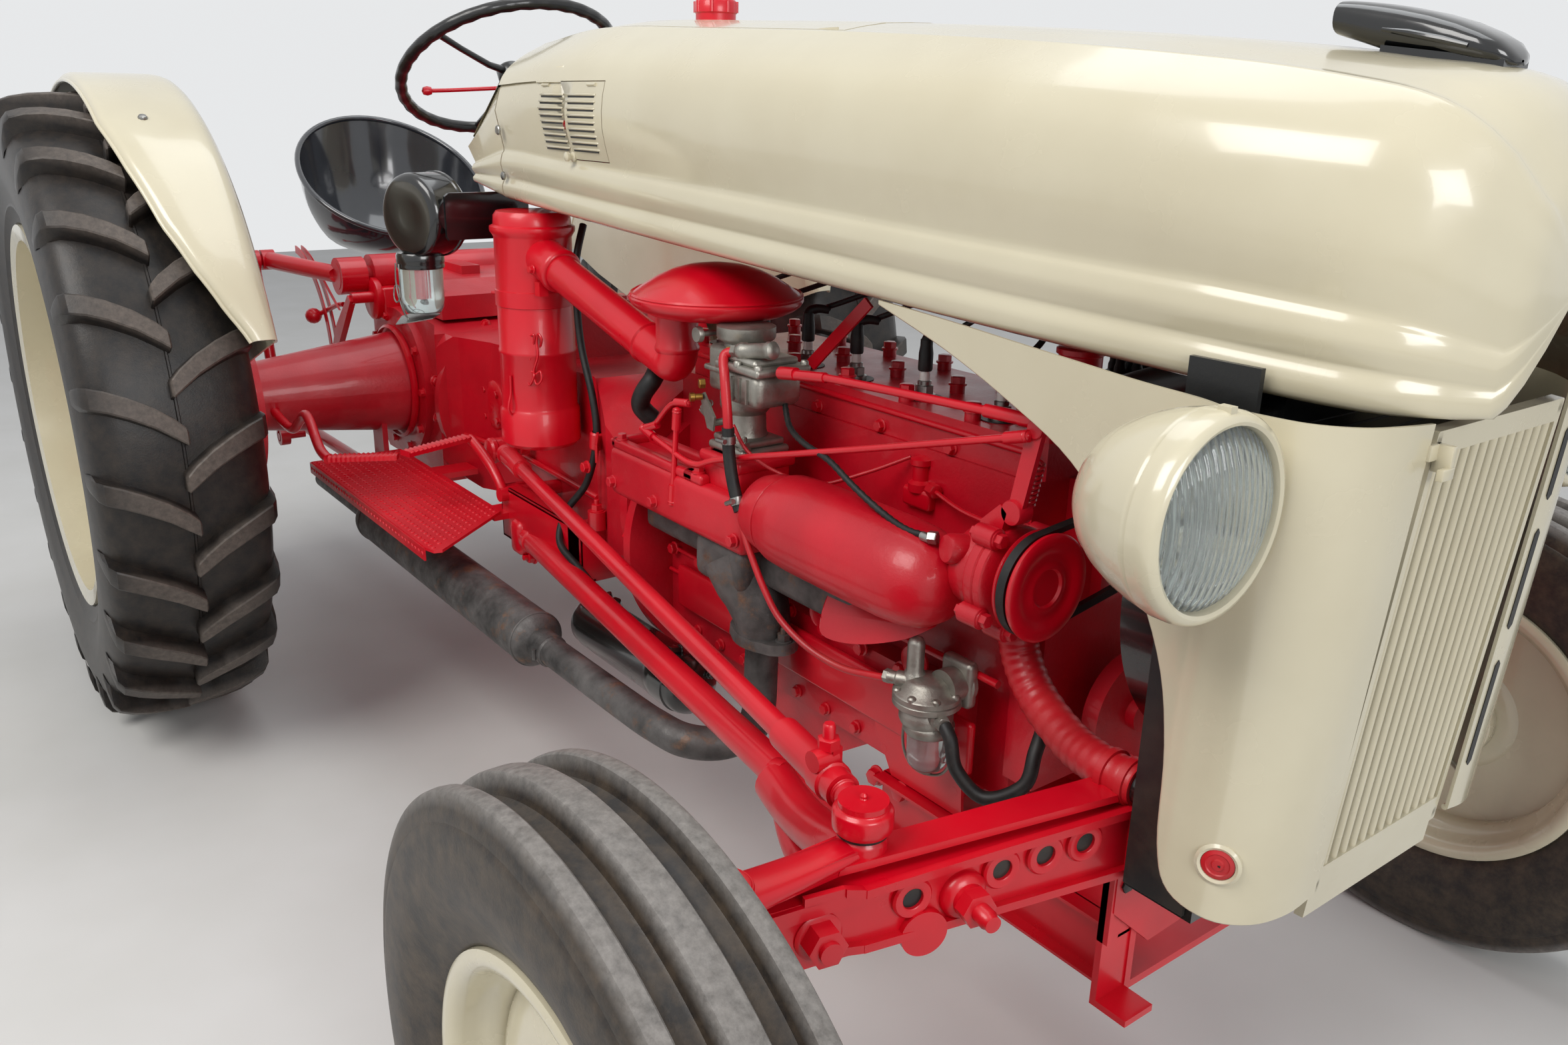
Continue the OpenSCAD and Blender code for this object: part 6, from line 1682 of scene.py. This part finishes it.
cam.matrix_world = Matrix.Translation(L(2764.3147, -1132.0034, 1235.5905)) @ Matrix(
    (right, upward, -ahead)).transposed().to_4x4()
bpy.context.scene.collection.objects.link(cam)
bpy.context.scene.camera = cam

# Floor, sky and lamps
bpy.context.scene.view_settings.view_transform = "Standard"
floor_mesh = bpy.data.meshes.new("floor")
floor_mesh.from_pydata([(-9, -6, 0), (9, -6, 0), (9, 9, 0), (-9, 9, 0)], [], [(0, 1, 2, 3)])
floor = bpy.data.objects.new("floor", floor_mesh)
bpy.context.scene.collection.objects.link(floor)
floor_maker = Maker("pale_floor")
dress(floor, floor_maker.done(floor_maker.ramp(floor_maker.noise(3, 3), [(0.3, rgb("c9c8c4")), (0.7, rgb("cfcecb"))]),
    0.8))

world = bpy.data.worlds.new("soft_sky")
bpy.context.scene.world = world
world.use_nodes = True
wt = world.node_tree
back = wt.nodes["Background"]
back.inputs["Color"].default_value = (0.9, 0.93, 1.0, 1)
back.inputs["Strength"].default_value = 0.42
seen = wt.nodes.new("ShaderNodeBackground")
seen.inputs["Color"].default_value = (0.80, 0.81, 0.82, 1)
seen.inputs["Strength"].default_value = 1.0
path = wt.nodes.new("ShaderNodeLightPath")
blend = wt.nodes.new("ShaderNodeMixShader")
# The pale background also shows in gloss and through glass
seen_by = path.outputs["Is Camera Ray"]
for ray in ("Is Glossy Ray", "Is Transmission Ray"):
    either = wt.nodes.new("ShaderNodeMath")
    either.operation = "MAXIMUM"
    wt.links.new(seen_by, either.inputs[0])
    wt.links.new(path.outputs[ray], either.inputs[1])
    seen_by = either.outputs[0]
wt.links.new(seen_by, blend.inputs[0])
wt.links.new(back.outputs[0], blend.inputs[1])
wt.links.new(seen.outputs[0], blend.inputs[2])
wt.links.new(blend.outputs[0], wt.nodes["World Output"].inputs["Surface"])


def lamp(name, place, target, size, power, colour):
    data = bpy.data.lights.new(name, "AREA")
    data.shape = "RECTANGLE"
    data.size, data.size_y = size
    data.energy = power
    data.color = colour
    o = bpy.data.objects.new(name, data)
    o.location = place
    o.rotation_euler = (Vector(target) - Vector(place)).to_track_quat("-Z", "Y").to_euler()
    bpy.context.scene.collection.objects.link(o)


lamp("key", (1.0, -4.2, 5.0), (0.3, 0, 0.7), (3.5, 3.0), 235, (1.0, 0.98, 0.95))
lamp("top", (0.2, 1.0, 6.0), (0.2, 0, 0.8), (5.0, 3.0), 105, (0.95, 0.98, 1.0))
lamp("front", (6.0, -1.0, 2.8), (0.5, 0, 0.8), (2.5, 2.0), 120, (1.0, 1.0, 1.0))
